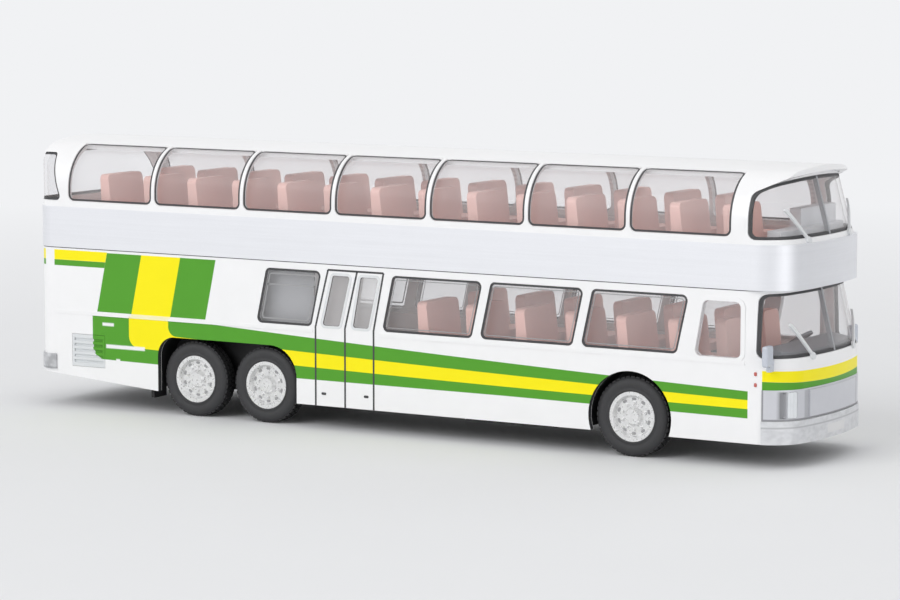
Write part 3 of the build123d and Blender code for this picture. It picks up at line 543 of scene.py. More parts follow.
# Front mask: the half-widths of its columns of painted shade in the slots and gaps beside the lamps,
# how dark each is, and their heights
MASK_COLUMNS = ((12.3, 13.25, 0.62), (8.15, 9.25, 0.3))
MASK_COLUMN_SPAN = (7.45, 11.5)
MASK_FOOT_Z = 7.45
MASK_SIDE_X = 63.95
MASK_SHADE = 0.6
# Softness of the columns' sides and ends
COLUMN_SOFT = (0.4, 0.15)
# Bumper: the fold along its face, where shade is painted, with its softness and how dark the painted
# shade is
BUMPER_FOLD = (6.05, 6.3, 0.15)
FOLD_SHADE = 0.45
# Darker patches of the bumpers: how they are drawn out, then level, softness and shade
PATCH_STRETCH = (1.0, 1.0, 1.6)
PATCH_LEVEL = (0.55, 0.3)
PATCH_SHADE = 0.22
TAIL_PATCH_LEVEL = (0.45, 0.35)
TAIL_PATCH_SHADE = 0.42
# Blank plate: its heights and half-width
PLATE_SPAN = (4.4, 5.7)
PLATE_HALF = 3.0


def mask_silver(paint):
    """Front mask: silver with painted shade in the slots beside the lamps, at its foot under them and
    along its sides.
    """
    recipe = Recipe("mask_silver")
    flakes = recipe.noise(*SILVER_FLAKES)
    cloud = recipe.noise(*MASK_CLOUD)
    across = abs(recipe.y)
    # Painted shade: darker at the mask's foot under the lamps and along its sides
    foot, ends = 1 - recipe.z.over(MASK_FOOT_Z), 1 - recipe.x.over(MASK_SIDE_X)
    dark = foot.most(ends) * MASK_SHADE
    side_soft, end_soft = COLUMN_SOFT
    span = recipe.z.between(*MASK_COLUMN_SPAN, end_soft)
    for inner, outer, share in MASK_COLUMNS:
        dark = dark.most(across.between(inner, outer, side_soft) * span * share)
    base = recipe.blend(flakes, rgba(paint.mask, 0.86), rgba(paint.mask, 1.0))
    base = recipe.blend(cloud * 0.3, base, rgba(paint.trim))
    inputs = {
        "Base Color": recipe.blend(dark, base, rgba(paint.line, 1.6)),
        "Metallic": 0.6 - dark * 0.6,
        "Roughness": 0.34 + (flakes - 0.5) * 0.15,
        "Normal": recipe.bump(flakes, FLAKE_GRAIN),
    }
    return recipe.show(recipe.shiny(inputs))


def bumper_silver(paint):
    """Bumpers: silver with painted shade along a fold and faint darker patches, and a blank plate in
    front.
    """
    recipe = Recipe("bumper_silver")
    flakes = recipe.noise(*SILVER_FLAKES)
    patch = recipe.noise(*BUMPER_PATCHES, PATCH_STRETCH).over(*PATCH_LEVEL) * PATCH_SHADE
    # Painted shade along the fold of the bumper's face
    fold = recipe.z.between(*BUMPER_FOLD) * FOLD_SHADE
    # Darker mottling over the rear bumper
    tail_mottle = recipe.noise(*BUMPER_PATCHES).over(*TAIL_PATCH_LEVEL)
    tail = (1 - recipe.x.over(0.0)) * tail_mottle * TAIL_PATCH_SHADE
    base = recipe.blend(flakes, rgba(paint.trim, 0.9), rgba(paint.trim, 1.0))
    base = recipe.blend(patch.most(fold), base, rgba(paint.cabin, 0.6))
    base = recipe.blend(tail, base, rgba(paint.line))
    plate = (1 - abs(recipe.y).over(PLATE_HALF)) * recipe.z.between(*PLATE_SPAN)
    plate = plate * recipe.x.over(0.0)
    inputs = {
        "Base Color": recipe.blend(plate, base, rgba(paint.white, 0.8)),
        "Metallic": (1 - plate) * 0.4,
        "Roughness": 0.36 + (flakes - 0.5) * 0.15,
        "Normal": recipe.bump(flakes, FLAKE_GRAIN),
    }
    return recipe.show(recipe.shiny(inputs))


# Clear styrene: what it lets through, its haze, and how fast its gloss grows at a glance
CLEAR_TINT = (0.985, 0.986, 0.99, 1.0)
CLEAR_HAZE = (0.9, 0.885, 0.89, 1.0)
GLANCE_POWER = 5.0
# Share of haze seen face on: side panes, the clearer screens, and what the door panes add
PANE_HAZE = 0.13
SCREEN_HAZE = 0.05
DOOR_HAZE = 0.2
DOOR_RUN = (-14.0, -2.0)


def high_screen_gap(recipe):
    """Distance inside the upper windscreen's edge."""
    side = recipe.x - HIGH_SCREEN_LOW.x
    head = (side * HIGH_SCREEN_CLIMB + HIGH_SCREEN_HEAD_Z - recipe.z) * HIGH_SCREEN_SLANT
    foot = recipe.z - HIGH_SCREEN_LOW.z
    return corner_gap(side, foot, SCREEN_CORNER).least(corner_gap(side, head, SCREEN_CORNER))


def low_screen_gap(recipe):
    """Distance inside the lower windscreen's edge."""
    side = recipe.x - SCREEN_LOW.x
    foot, head = recipe.z - SCREEN_LOW.z, SCREEN_HIGH.z - recipe.z
    return corner_gap(side, foot, SCREEN_CORNER).least(corner_gap(side, head, SCREEN_CORNER))


def rear_pane_gap(recipe):
    """Distance inside the upper rear window's edge."""
    foot, head = recipe.z - REAR_PANE_LOW.z, REAR_PANE_HIGH.z - recipe.z
    side = REAR_PANE_FOOT_X - foot * REAR_PANE_LEAN - recipe.x
    return corner_gap(side, foot, REAR_PANE_CORNER).least(corner_gap(side, head, REAR_PANE_CORNER))


def clear_glazing(name, paint, least, gap=None):
    """Clear styrene: see-through with a thin haze, glossy at a glance, its edge printed dark."""
    recipe = Recipe(name)
    haze = recipe.noise(*GLASS_CLOUD)
    facing = recipe.node("ShaderNodeLayerWeight", None, {"Blend": 0.5}, "Facing")
    glance = facing.maths("POWER", GLANCE_POWER) * (1.0 - least) + least
    on_doors = recipe.x.between(*DOOR_RUN) * (1 - recipe.y.over(0.0))
    glance = glance + on_doors * (1 - recipe.z.over(DOOR_TOP_Z)) * DOOR_HAZE
    film = recipe.node("ShaderNodeBsdfTransparent", None, {"Color": CLEAR_TINT})
    skin = recipe.shiny({"Base Color": CLEAR_HAZE, "Roughness": 0.06 + haze * 0.05})
    solid = recipe.node("ShaderNodeMixShader", None, {0: glance + haze * 0.03, 1: film, 2: skin})
    if gap:
        ink_and_shade = recipe.shiny({"Base Color": rgba(paint.line), "Roughness": 0.5})
        edge = 1 - gap(recipe).over(trim("screen_line"))
        solid = recipe.node("ShaderNodeMixShader", None, {0: edge, 1: solid, 2: ink_and_shade})
    return recipe.show(solid)


# How far the dusty sidewall reaches in from the wheel's face, and over what width it fades
SIDEWALL = (0.55, 0.3)


def tyre_rubber(paint):
    """Soft black rubber: dusty sidewall and a darker tread."""
    recipe = Recipe("tyre_rubber")
    dust = recipe.noise(*TYRE_DUST)
    fine = recipe.noise(*TYRE_SKIN)
    depth, fade = SIDEWALL
    wall = abs(recipe.y).over(WHEEL_FACE_Y - depth, fade)
    base = recipe.blend(wall, rgba(paint.rubber, 0.35), rgba(paint.rubber, 1.0))
    base = recipe.blend(dust * 0.25, base, rgba(paint.rubber, 1.25))
    inputs = {
        "Base Color": base,
        "Roughness": 0.55 + dust * 0.2,
        "Normal": recipe.bump(fine, RUBBER_GRAIN),
    }
    return recipe.show(recipe.shiny(inputs))


# Ribs of a lens: radians of their wave in a millimetre, and their depth
LENS_RIB_TURN = 14.0
LENS_RIB_DEPTH = 0.02


def lens(name, colour):
    """Tinted lamp lens with fine upright ribs moulded in it."""
    recipe = Recipe(name)
    ribs = (recipe.y * LENS_RIB_TURN).maths("SINE")
    cloud = recipe.noise(*LENS_CLOUD)
    base = recipe.blend(cloud, rgba(colour, 0.85), rgba(colour, 1.0))
    inputs = {
        "Base Color": base,
        "Roughness": 0.12 + cloud * 0.08,
        "Coat Weight": 0.6,
        "Normal": recipe.bump(ribs, LENS_RIB_DEPTH),
    }
    return recipe.show(recipe.shiny(inputs))


# Plain mouldings: screen colour and roughness
MOULDINGS = {
    # The upper console: a lighter copy of the cabin grey, painted light where it sits in shade
    "console_grey": ((222, 223, 226), 0.5),
    "dash_grey": ((128, 130, 136), 0.5),
    "chassis_black": ((24, 24, 26), 0.55),
    "frame_silver": ((226, 228, 230), 0.4),
    "mirror_grey": ((198, 203, 213), 0.35),
    # Grey of painted shade in the wheels' hand holes and at the lower panes' steps; the stair pane's
    # frames use it too
    "shadow_grey": ((158, 158, 160), 0.5),
}
# Lamp lenses: screen colour
LENSES = {
    "lens_clear": (236, 239, 243),
    "lens_red": (176, 22, 18),
    "marker_red": (196, 96, 88),
}
LOUVRE_GREY = (222, 225, 227)
AXLE_STEEL = (150, 152, 156)
FINISHES = {}


def new_finish(name):
    """Makes one of the finishes."""
    if name in MOULDINGS:
        colour, roughness = MOULDINGS[name]
        return moulded(name, linear(*colour), roughness)
    if name in LENSES:
        return lens(name, linear(*LENSES[name]))
    paint = finish()
    makers = {
        "livery_white": lambda: livery_plastic(name, paint, paint.white),
        "livery_louvre": lambda: livery_plastic(
            name, paint, linear(*LOUVRE_GREY), LOUVRE_REACH, shade_edges=False
        ),
        "white_moulding": lambda: moulded(name, paint.white, 0.34, coat=0.15),
        "silver_belt": lambda: silver_paint(name, paint.belt, 0.38, reflection_share=0.1),
        "mask_silver": lambda: mask_silver(paint),
        "bumper_silver": lambda: bumper_silver(paint),
        "hub_silver": lambda: silver_paint(
            name, paint.hub, 0.3, flake=0.34, metallic=0.6, grain=3.0
        ),
        "axle_steel": lambda: silver_paint(name, linear(*AXLE_STEEL), 0.3),
        "clear_glazing": lambda: clear_glazing(name, paint, PANE_HAZE),
        "low_screen": lambda: clear_glazing(name, paint, SCREEN_HAZE, low_screen_gap),
        "high_screen": lambda: clear_glazing(name, paint, SCREEN_HAZE, high_screen_gap),
        "rear_screen": lambda: clear_glazing(name, paint, SCREEN_HAZE, rear_pane_gap),
        "seat_plastic": lambda: moulded(name, paint.seats, 0.5, tint=0.12),
        "cabin_grey": lambda: moulded(name, paint.cabin, 0.5),
        "window_line": lambda: moulded(name, paint.line, 0.5),
        "tyre_rubber": lambda: tyre_rubber(paint),
    }
    return makers[name]()


def finish_named(name):
    """One of the finishes, made when it is first asked for."""
    if name not in FINISHES:
        FINISHES[name] = new_finish(name)
    return FINISHES[name]


def paint_nodes(finish_name, *nodes):
    """Puts one finish on CAD nodes."""
    for node in nodes:
        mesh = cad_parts[node].data
        mesh.materials.clear()
        mesh.materials.append(finish_named(finish_name))


# Shapes: outlines in a flat sheet, and where that sheet lies on the coach


def shrunk(points, inset):
    """Convex outline with every edge moved inwards."""
    count = len(points)
    turn = sum(
        points[i - 1][0] * points[i][1] - points[i][0] * points[i - 1][1] for i in range(count)
    )
    sense = 1.0 if turn > 0 else -1.0
    lines = []
    for i in range(count):
        (x0, y0), (x1, y1) = points[i - 1], points[i]
        size = math.hypot(x1 - x0, y1 - y0)
        normal = (-(y1 - y0) / size * sense, (x1 - x0) / size * sense)
        lines.append((normal, normal[0] * x0 + normal[1] * y0 + inset))
    moved = []
    for i in range(count):
        (a, c), (b, d) = lines[i], lines[(i + 1) % count]
        det = a[0] * b[1] - a[1] * b[0]
        moved.append(((c * b[1] - d * a[1]) / det, (a[0] * d - b[0] * c) / det))
    return moved


# Steps round a corner, and round a corner of a small fitting
CORNER_STEPS = 6
SMALL_CORNER_STEPS = 4


def rounded(points, radius, arc_steps=CORNER_STEPS, edge_steps=1):
    """Outline with round corners, its straight edges cut into even steps."""
    count = len(points)
    corners = []
    for i in range(count):
        here = Vector(points[i])
        before = (Vector(points[i - 1]) - here).normalized()
        after = (Vector(points[(i + 1) % count]) - here).normalized()
        half = before.angle(after) / 2
        centre = here + (before + after).normalized() * (radius / math.sin(half))
        start = here + before * (radius / math.tan(half))
        end = here + after * (radius / math.tan(half))
        arc = []
        for step in range(arc_steps + 1):
            spoke = (start - centre).lerp(end - centre, step / arc_steps)
            arc.append(centre + spoke.normalized() * radius)
        corners.append(arc)
    outline = []
    for i, arc in enumerate(corners):
        outline.extend(arc)
        start, end = arc[-1], corners[(i + 1) % count][0]
        outline.extend(start.lerp(end, step / edge_steps) for step in range(1, edge_steps))
    return [tuple(point) for point in outline]


def flank_sheet(side, depth=0.0):
    """Sheet on a side wall: x, z and a height above the wall's face less a depth."""
    return lambda x, z, height: Vector((x, side * (HALF_WIDTH - depth + height), z))


def dome_sheet(side):
    """Sheet on a dome window: x, length up the section, and a height above it."""

    def place(x, run, height):
        reach = HALF_WIDTH - PANE_RECESS + height
        upright = DOME_SPRING_Z - DOME_PANE_LOW_Z
        if run <= upright:
            return Vector((x, side * reach, DOME_PANE_LOW_Z + run))
        radius = DOME_RADIUS - PANE_RECESS + height
        angle = (run - upright) / DOME_RADIUS
        centre_y = HALF_WIDTH - DOME_RADIUS
        return Vector(
            (
                x,
                side * (centre_y + radius * math.cos(angle)),
                DOME_SPRING_Z + radius * math.sin(angle),
            )
        )

    return place


def wheel_sheet(side):
    """Sheet on a wheel at the origin: x, z and a distance behind the wheel's outer face."""
    return lambda x, z, back: Vector((x, side * (WHEEL_FACE_Y - back), z))


# Points closer than this are merged, in metres
WELD_REACH = 1e-7


class Casting:
    """Points and faces in millimetres, gathered into one mesh."""

    def __init__(self):
        self.points = []
        self.faces = []

    def loops(self, loops, ring=False):
        """Joins loops of equal length into a skin; a ring also joins the last to the first."""
        start, size = len(self.points), len(loops[0])
        for loop in loops:
            self.points.extend(loop)
        rows = len(loops)
        for row in range(rows if ring else rows - 1):
            low, high = start + row * size, start + (row + 1) % rows * size
            for i in range(size):
                j = (i + 1) % size
                self.faces.append((low + i, low + j, high + j, high + i))

    def cap(self, loop):
        """Closes a loop with one face."""
        start = len(self.points)
        self.points.extend(loop)
        self.faces.append(tuple(range(start, start + len(loop))))

    def slab(self, outline, place, low, high):
        """Filled outline with a thickness."""
        bottom = [place(u, v, low) for u, v in outline]
        top = [place(u, v, high) for u, v in outline]
        self.loops([bottom, top])
        self.cap(bottom)
        self.cap(top)

    def strip(self, bends, width, place, low, high):
        """Flat strip of one width along a line with gentle bends."""
        sides = ([], [])
        for i, (u, v) in enumerate(bends):
            before, after = bends[max(i - 1, 0)], bends[min(i + 1, len(bends) - 1)]
            along = Vector((after[0] - before[0], after[1] - before[1])).normalized()
            for side, sense in zip(sides, (0.5, -0.5)):
                side.append((u - along.y * width * sense, v + along.x * width * sense))
        self.slab(sides[0] + sides[1][::-1], place, low, high)

    def ring(self, outer, inner, place, low, high):
        """Frame between two outlines of equal length, with a thickness."""
        corners = ((outer, low), (outer, high), (inner, high), (inner, low))
        self.loops([[place(u, v, h) for u, v in line] for line, h in corners], ring=True)

    def mesh(self, name, smooth=False):
        """Mesh with its seams closed and its faces turned outwards."""
        mesh = bpy.data.meshes.new(name)
        mesh.from_pydata([point * METRE for point in self.points], [], self.faces)
        work = bmesh.new()
        work.from_mesh(mesh)
        bmesh.ops.remove_doubles(work, verts=work.verts, dist=WELD_REACH)
        bmesh.ops.recalc_face_normals(work, faces=work.faces)
        work.to_mesh(mesh)
        work.free()
        for face in mesh.polygons:
            face.use_smooth = smooth
        return mesh

    def piece(self, name, finish_name, slot, body=COACH, smooth=False):
        """Writes the mesh as one piece that rides on a body."""
        return add_piece(name, self.mesh(name, smooth), finish_name, body)


def add_piece(name, mesh, finish_name, body=COACH):
    """Links a mesh as a piece of the coach."""
    mesh.materials.clear()
    mesh.materials.append(finish_named(finish_name))
    piece = bpy.data.objects.new(name, mesh)
    bpy.context.scene.collection.objects.link(piece)
    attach(piece, body)
    return piece


# Pieces


def oblong(x, z, half_x, half_z):
    """Corners of an upright oblong round a centre."""
    return [(x + i * half_x, z + j * half_z) for i, j in ((-1, -1), (1, -1), (1, 1), (-1, 1))]


def pane_corners(pane):
    """Corners of a leaning side window."""
    rear, front, low, high, rear_lean, front_lean = pane
    return [(rear, low), (front, low), (front + front_lean, high), (rear + rear_lean, high)]


def pane_line(casting, corners, place, width, height, radius, edge_steps=1):
    """Printed line just inside a pane's outline."""
    outer = rounded(corners, radius, edge_steps=edge_steps)
    inner = rounded(shrunk(corners, width), max(radius - width, 0.1), edge_steps=edge_steps)
    casting.ring(outer, inner, place, 0.0, height)


PANE_CORNER = 0.9
PRINT_GAP = 0.06
# Grey line of painted shade at the moulded step inside a lower pane: its gap to the pane's edge, its
# width and its corner
STEP_GAP = 0.6
STEP_WIDTH = 0.13
STEP_CORNER = 0.5


def lower_window_lines():
    """Dark line printed round each lower side window, and a grey line of painted shade at the moulded
    step inside it.
    """
    width, height = trim("line_width"), trim("line_height")
    for side, name in zip(SIDES, ("right", "left")):
        lines, step_shades = Casting(), Casting()
        place = flank_sheet(side, PANE_RECESS)
        for pane in LINED_PANES[side]:
            corners = pane_corners(pane)
            pane_line(lines, shrunk(corners, PRINT_GAP), place, width, height, PANE_CORNER)
            if pane is not STAIR_PANE:
                inner = shrunk(corners, STEP_GAP)
                pane_line(step_shades, inner, place, STEP_WIDTH, height, STEP_CORNER)
        lines.piece(f"lower_window_lines_{name}", "window_line", "dark_trim")
        step_shades.piece(f"lower_pane_step_shades_{name}", "shadow_grey", "dark_trim")


# Corners of a dome window's line, and the steps along its curved sides
DOME_CORNER = 1.0
DOME_EDGE_STEPS = 14


def dome_window_lines():
    """Dark line printed round each dome window."""
    width, height = trim("line_width"), trim("line_height")
    centre_y = HALF_WIDTH - DOME_RADIUS
    swing = math.acos((DOME_PANE_TOP_Y - centre_y) / DOME_RADIUS)
    top = DOME_SPRING_Z - DOME_PANE_LOW_Z + swing * DOME_RADIUS - PRINT_GAP
    for side, name in zip(SIDES, ("right", "left")):
        casting = Casting()
        for i in range(DOME_PANE_COUNT):
            start = DOME_PANE_FIRST_X + i * DOME_PANE_PITCH + PRINT_GAP
            end = start + DOME_PANE_WIDTH - 2 * PRINT_GAP
            corners = [(start, PRINT_GAP), (end, PRINT_GAP), (end, top), (start, top)]
            place = dome_sheet(side)
            pane_line(casting, corners, place, width, height, DOME_CORNER, DOME_EDGE_STEPS)
        casting.piece(f"dome_window_lines_{name}", "window_line", "dark_trim")


DOOR_CORNER = 0.4
FRAME_HEIGHT = 0.07


def door_trim():
    """Silver frame round each door pane, and dark strips of painted shade in the grooves round the
    two leaves.
    """
    wall = flank_sheet(-1)
    frames = Casting()
    for pane in DOOR_PANES:
        corners = pane_corners(pane)
        outer = rounded(shrunk(corners, -trim("frame_width")), 2 * DOOR_CORNER)
        inner = rounded(corners, DOOR_CORNER)
        frames.ring(outer, inner, wall, 0.0, FRAME_HEIGHT)
    frames.piece("door_pane_frames", "frame_silver", "silver_trim")
    # Dark strips of painted shade along the grooves round the door leaves
    lines = Casting()
    for foot, lean in DOOR_EDGES:
        bends = ((foot, SKIRT_Z), (foot, DOOR_WAIST_Z), (foot + lean, DOOR_TOP_Z))
        lines.strip(bends, trim("groove_shade_width"), wall, 0.0, trim("line_height"))
    ends = [(foot + lean, DOOR_TOP_Z) for foot, lean in (DOOR_EDGES[0], DOOR_EDGES[-1])]
    lines.strip(ends, trim("groove_shade_width"), wall, 0.0, trim("line_height"))
    lines.piece("door_groove_shades", "window_line", "dark_trim")


STAIR_FRAME_GAP = 0.75
STAIR_FRAME_WIDTH = 0.22
STAIR_FRAME_CORNER = 0.5
STAIR_BAR_Z = 22.5


def stair_pane_frames():
    """Inner frame and cross bar of the pane beside the stair, on both sides."""
    casting = Casting()
    rear, front, low, high, lean, _ = STAIR_PANE
    shift = lean * (STAIR_BAR_Z - low) / (high - low)
    bar = [(x + shift, STAIR_BAR_Z) for x in (rear + STAIR_FRAME_GAP, front - STAIR_FRAME_GAP)]
    for side in SIDES:
        place = flank_sheet(side, PANE_RECESS)
        corners = shrunk(pane_corners(STAIR_PANE), STAIR_FRAME_GAP)
        height = trim("line_height")
        pane_line(casting, corners, place, STAIR_FRAME_WIDTH, height, STAIR_FRAME_CORNER)
        casting.strip(bar, STAIR_FRAME_WIDTH, place, 0.0, height)
    casting.piece("stair_pane_frames", "shadow_grey", "dark_trim")


# Small fittings on the flanks: x, z, half length, half height
SIDE_MARKERS = ((62.73, 14.08, 0.22, 0.3), (62.74, 12.46, 0.22, 0.3))
DOOR_HANDLES = ((-12.37, 5.66, 0.42, 0.2), (-4.48, 5.74, 0.42, 0.2))
FITTING_HEIGHT = 0.1
# Shares of a fitting: its corner radius, its crown's inset and the height of its shoulder
FITTING_ROUND = 0.8
FITTING_CROWN = 0.5
FITTING_SHOULDER = 0.6


def flank_fittings(name, rows, sides, finish_name, slot):
    """Small rounded lamps or handles on the side walls."""
    casting = Casting()
    for side in sides:
        place = flank_sheet(side)
        for x, z, length, height in rows:
            corners = oblong(x, z, length, height)
            radius = min(length, height) * FITTING_ROUND
            inset = radius * FITTING_CROWN
            base = rounded(corners, radius, SMALL_CORNER_STEPS)
            crown = rounded(shrunk(corners, inset), inset, SMALL_CORNER_STEPS)
            shoulder = FITTING_HEIGHT * FITTING_SHOULDER
            levels = ((base, 0.0), (base, shoulder), (crown, FITTING_HEIGHT))
            loops = [[place(u, v, rise) for u, v in line] for line, rise in levels]
            casting.loops(loops)
            casting.cap(loops[0])
            casting.cap(loops[-1])
    casting.piece(name, finish_name, slot)


# Tyre section: radius and distance behind the outer face; the tread stands on its crown
TYRE_SECTION = (
    (3.8, 3.3),
    (3.8, 0.3),
    (3.92, 0.12),
    (4.1, 0.12),
    (4.18, 0.2),
    (4.5, 0.06),
    (5.05, 0.0),
    (5.45, 0.08),
    (5.75, 0.28),
    (5.92, 0.5),
    (5.92, 2.85),
    (5.7, 3.05),
)
TYRE_STEPS = 96
# Tread rows: distance of the two edges behind the outer face
TREAD_ROWS = ((0.48, 1.1), (1.28, 1.9), (2.08, 2.7))
TREAD_COUNT = 44
TREAD_SHARE = 0.72
TREAD_ROOT = 1.6
# Wheel nuts and hand holes: how many, their circle, and their span behind the outer face
NUT_COUNT = 10
NUT_SIDES = 6
NUT_CIRCLE = 2.0
NUT_SPAN = (0.95, 0.62)
HOLE_COUNT = 10
HOLE_CIRCLE = 2.62
HOLE_HALF = (0.36, 0.2)
HOLE_CORNER = 0.19
HOLE_SPAN = (0.95, 0.87)


class WheelPattern(Graph):
    """Geometry tree that sets copies of a shape round a wheel's axle."""

    def __init__(self):
        tree = bpy.data.node_groups.new("wheel_pattern", "GeometryNodeTree")
        super().__init__(tree)
        for name, kind in (
            ("Shape", "NodeSocketGeometry"),
            ("Count", "NodeSocketInt"),
            ("Centre", "NodeSocketVector"),
            ("Finish", "NodeSocketMaterial"),
        ):
            tree.interface.new_socket(name, in_out="INPUT", socket_type=kind)
        tree.interface.new_socket("Copies", in_out="OUTPUT", socket_type="NodeSocketGeometry")
        shape = self.node("NodeGroupInput", output="Shape")
        count = shape.other("Count")
        inputs = {"Count": count, "Position": shape.other("Centre")}
        hubs = self.node("GeometryNodePoints", None, inputs)
        turn = self.node("GeometryNodeInputIndex") * math.tau / count
        spin = self.node("ShaderNodeCombineXYZ", None, {"Y": turn})
        inputs = {"Points": hubs, "Instance": shape, "Rotation": spin}
        copies = self.node("GeometryNodeInstanceOnPoints", None, inputs)
        solid = self.node("GeometryNodeRealizeInstances", None, {"Geometry": copies})
        inputs = {"Geometry": solid, "Material": shape.other("Finish")}
        shown = self.node("GeometryNodeSetMaterial", None, inputs)
        self.node("NodeGroupOutput", None, {"Copies": shown})

    def mesh(self, name, shape, count, centre, finish_name):
        """Plain mesh of the copies of a shape."""
        holder = bpy.data.objects.new(name, shape)
        bpy.context.scene.collection.objects.link(holder)
        modifier = holder.modifiers.new(name, "NODES")
        modifier.node_group = self.tree
        values = {"Count": count, "Centre": centre * METRE, "Finish": finish_named(finish_name)}
        for item in self.tree.interface.items_tree:
            if item.name in values:
                modifier[item.identifier] = values[item.name]
        seen = holder.evaluated_get(bpy.context.evaluated_depsgraph_get())
        mesh = bpy.data.meshes.new_from_object(seen)
        bpy.data.objects.remove(holder)
        return mesh


def tread_shape():
    """One row of tread blocks across both tyres of an axle, at the foot of the wheel."""
    casting = Casting()
    root = TYRE_RADIUS - TREAD_ROOT * trim("tread_depth")
    half = math.pi / TREAD_COUNT * TREAD_SHARE
    section = ((root, -half), (TYRE_RADIUS, -half), (TYRE_RADIUS, half), (root, half))
    for side in SIDES:
        for row, (near, far) in enumerate(TREAD_ROWS):
            start = (row % 2) * math.pi / TREAD_COUNT
            outline = [
                (radius * math.sin(start + turn), -radius * math.cos(start + turn))
                for radius, turn in section
            ]
            casting.slab(outline, wheel_sheet(side), near, far)
    return casting.mesh("tread_shape")


def round_shape(name, circle, outline, span):
    """A small prism on a circle round the axle, on both wheels."""
    casting = Casting()
    for side in SIDES:
        casting.slab([(x, z + circle) for x, z in outline], wheel_sheet(side), *span)
    return casting.mesh(name)


def tyre_pair(axle, centre):
    """Tyres of an axle with their bead, round shoulder and the crown that the tread blocks stand on.
    """
    body, casting = f"{axle}_axle", Casting()
    turns = [math.tau * step / TYRE_STEPS for step in range(TYRE_STEPS)]
    for side in SIDES:
        place = wheel_sheet(side)
        rings = [
            [centre + place(radius * math.sin(turn), radius * math.cos(turn), back) for turn in turns]
            for radius, back in TYRE_SECTION
        ]
        casting.loops(rings, ring=True)
    tyres = casting.piece(f"{axle}_tyre_pair", "tyre_rubber", "tyre_black", body, smooth=True)
    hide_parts(f"{axle}_tyres")


def wheel_details(axle, centre, pattern):
    """Tread blocks, wheel nuts and hand holes of an axle's wheels."""
    radius = trim("nut_radius")
    turns = [math.tau * step / NUT_SIDES for step in range(NUT_SIDES)]
    nut = [(radius * math.cos(turn), radius * math.sin(turn)) for turn in turns]
    hole = rounded(oblong(0.0, 0.0, *HOLE_HALF), HOLE_CORNER, SMALL_CORNER_STEPS)
    nuts = round_shape("nut_shape", NUT_CIRCLE, nut, NUT_SPAN)
    holes = round_shape("hole_shape", HOLE_CIRCLE, hole, HOLE_SPAN)
    rows = (
        ("tread", tread_shape(), TREAD_COUNT, "tyre_rubber", "tyre_black"),
        ("wheel_nuts", nuts, NUT_COUNT, "hub_silver", "hub_silver"),
        ("hand_holes", holes, HOLE_COUNT, "shadow_grey", "dark_trim"),
    )
    for label, shape, count, finish_name, slot in rows:
        name = f"{axle}_{label}"
        mesh = pattern.mesh(name, shape, count, centre, finish_name)
        add_piece(name, mesh, finish_name, f"{axle}_axle")


class COACH_OT_paint_shells(bpy.types.Operator):
    """Puts the finishes on the shells, the belt and the louvres"""

    bl_idname = "coach.paint_shells"
    bl_label = "Paint shells"

    def execute(self, context):
        paint_nodes("livery_white", "lower_shell")
        paint_nodes("white_moulding", "roof_shell")
        paint_nodes("silver_belt", "belt_band")
        paint_nodes("livery_louvre", "engine_grilles")
        return {"FINISHED"}


class COACH_OT_trim_sides(bpy.types.Operator):
    """Fits the door frames, the painted shade in the door grooves, the side markers and the door
    handles
    """

    bl_idname = "coach.trim_sides"
    bl_label = "Trim sides"

    def execute(self, context):
        door_trim()
        flank_fittings("side_markers", SIDE_MARKERS, SIDES, "marker_red", "lamp_red")
        flank_fittings("door_handles", DOOR_HANDLES, (-1,), "window_line", "dark_trim")
        return {"FINISHED"}


class COACH_OT_glaze(bpy.types.Operator):
    """Puts the clear finish on the glazing and prints the lines round it"""

    bl_idname = "coach.glaze"
    bl_label = "Glaze"

    def execute(self, context):
        paint_nodes(
            "clear_glazing",
            "lower_glazing_right",
            "lower_glazing_left",
            "dome_glazing_right",
            "dome_glazing_left",
        )
        paint_nodes("low_screen", "lower_windscreen")
        paint_nodes("high_screen", "upper_windscreen")
        paint_nodes("rear_screen", "upper_rear_window")
        paint_nodes("cabin_grey", "windscreen_dividers")
        lower_window_lines()
        dome_window_lines()
        stair_pane_frames()
        return {"FINISHED"}


class COACH_OT_furnish(bpy.types.Operator):
    """Puts the finishes on what shows through the glass"""

    bl_idname = "coach.furnish"
    bl_label = "Furnish"

    def execute(self, context):
        paint_nodes("seat_plastic", "upper_deck_interior", "lower_deck_interior", "cab_seats")
        paint_nodes("console_grey", "upper_console")
        paint_nodes("cabin_grey", "stair_block")
        paint_nodes("dash_grey", "dashboard", "steering_wheel")
        return {"FINISHED"}


class COACH_OT_fit_ends(bpy.types.Operator):
    """Finishes the mask, bumpers, lamps, mirrors and wipers"""

    bl_idname = "coach.fit_ends"
    bl_label = "Fit ends"

    def execute(self, context):
        paint_nodes("mask_silver", "front_mask")
        paint_nodes("bumper_silver", "front_bumper", "rear_bumper")
        paint_nodes("frame_silver", "lower_wipers", "upper_wipers")
        paint_nodes("lens_clear", "headlamps")
        paint_nodes("lens_red", "tail_lamps")
        paint_nodes("mirror_grey", "mirror_right", "mirror_left")
        return {"FINISHED"}


class COACH_OT_run_wheels(bpy.types.Operator):
    """Finishes the chassis and the three wheel sets"""

    bl_idname = "coach.run_wheels"
    bl_label = "Wheels and chassis"

    def execute(self, context):
        paint_nodes("chassis_black", "chassis")
        pattern = WheelPattern()
        for axle in AXLES:
            paint_nodes("axle_steel", f"{axle}_axle_shaft")
            paint_nodes("hub_silver", f"{axle}_hubs")
            paint_nodes("tyre_rubber", f"{axle}_tyres")
            low, high = box_mm(f"{axle}_tyres")
            centre = (low + high) / 2
            tyre_pair(axle, centre)
            wheel_details(axle, centre, pattern)
        return {"FINISHED"}


# Stage

FLOOR_RADIUS = 4000.0
FLOOR_STEPS = 96
# Distances from the coach's middle at which the floor starts to fade and is the backdrop
FLOOR_NEAR = 150.0
FLOOR_FAR = 420.0
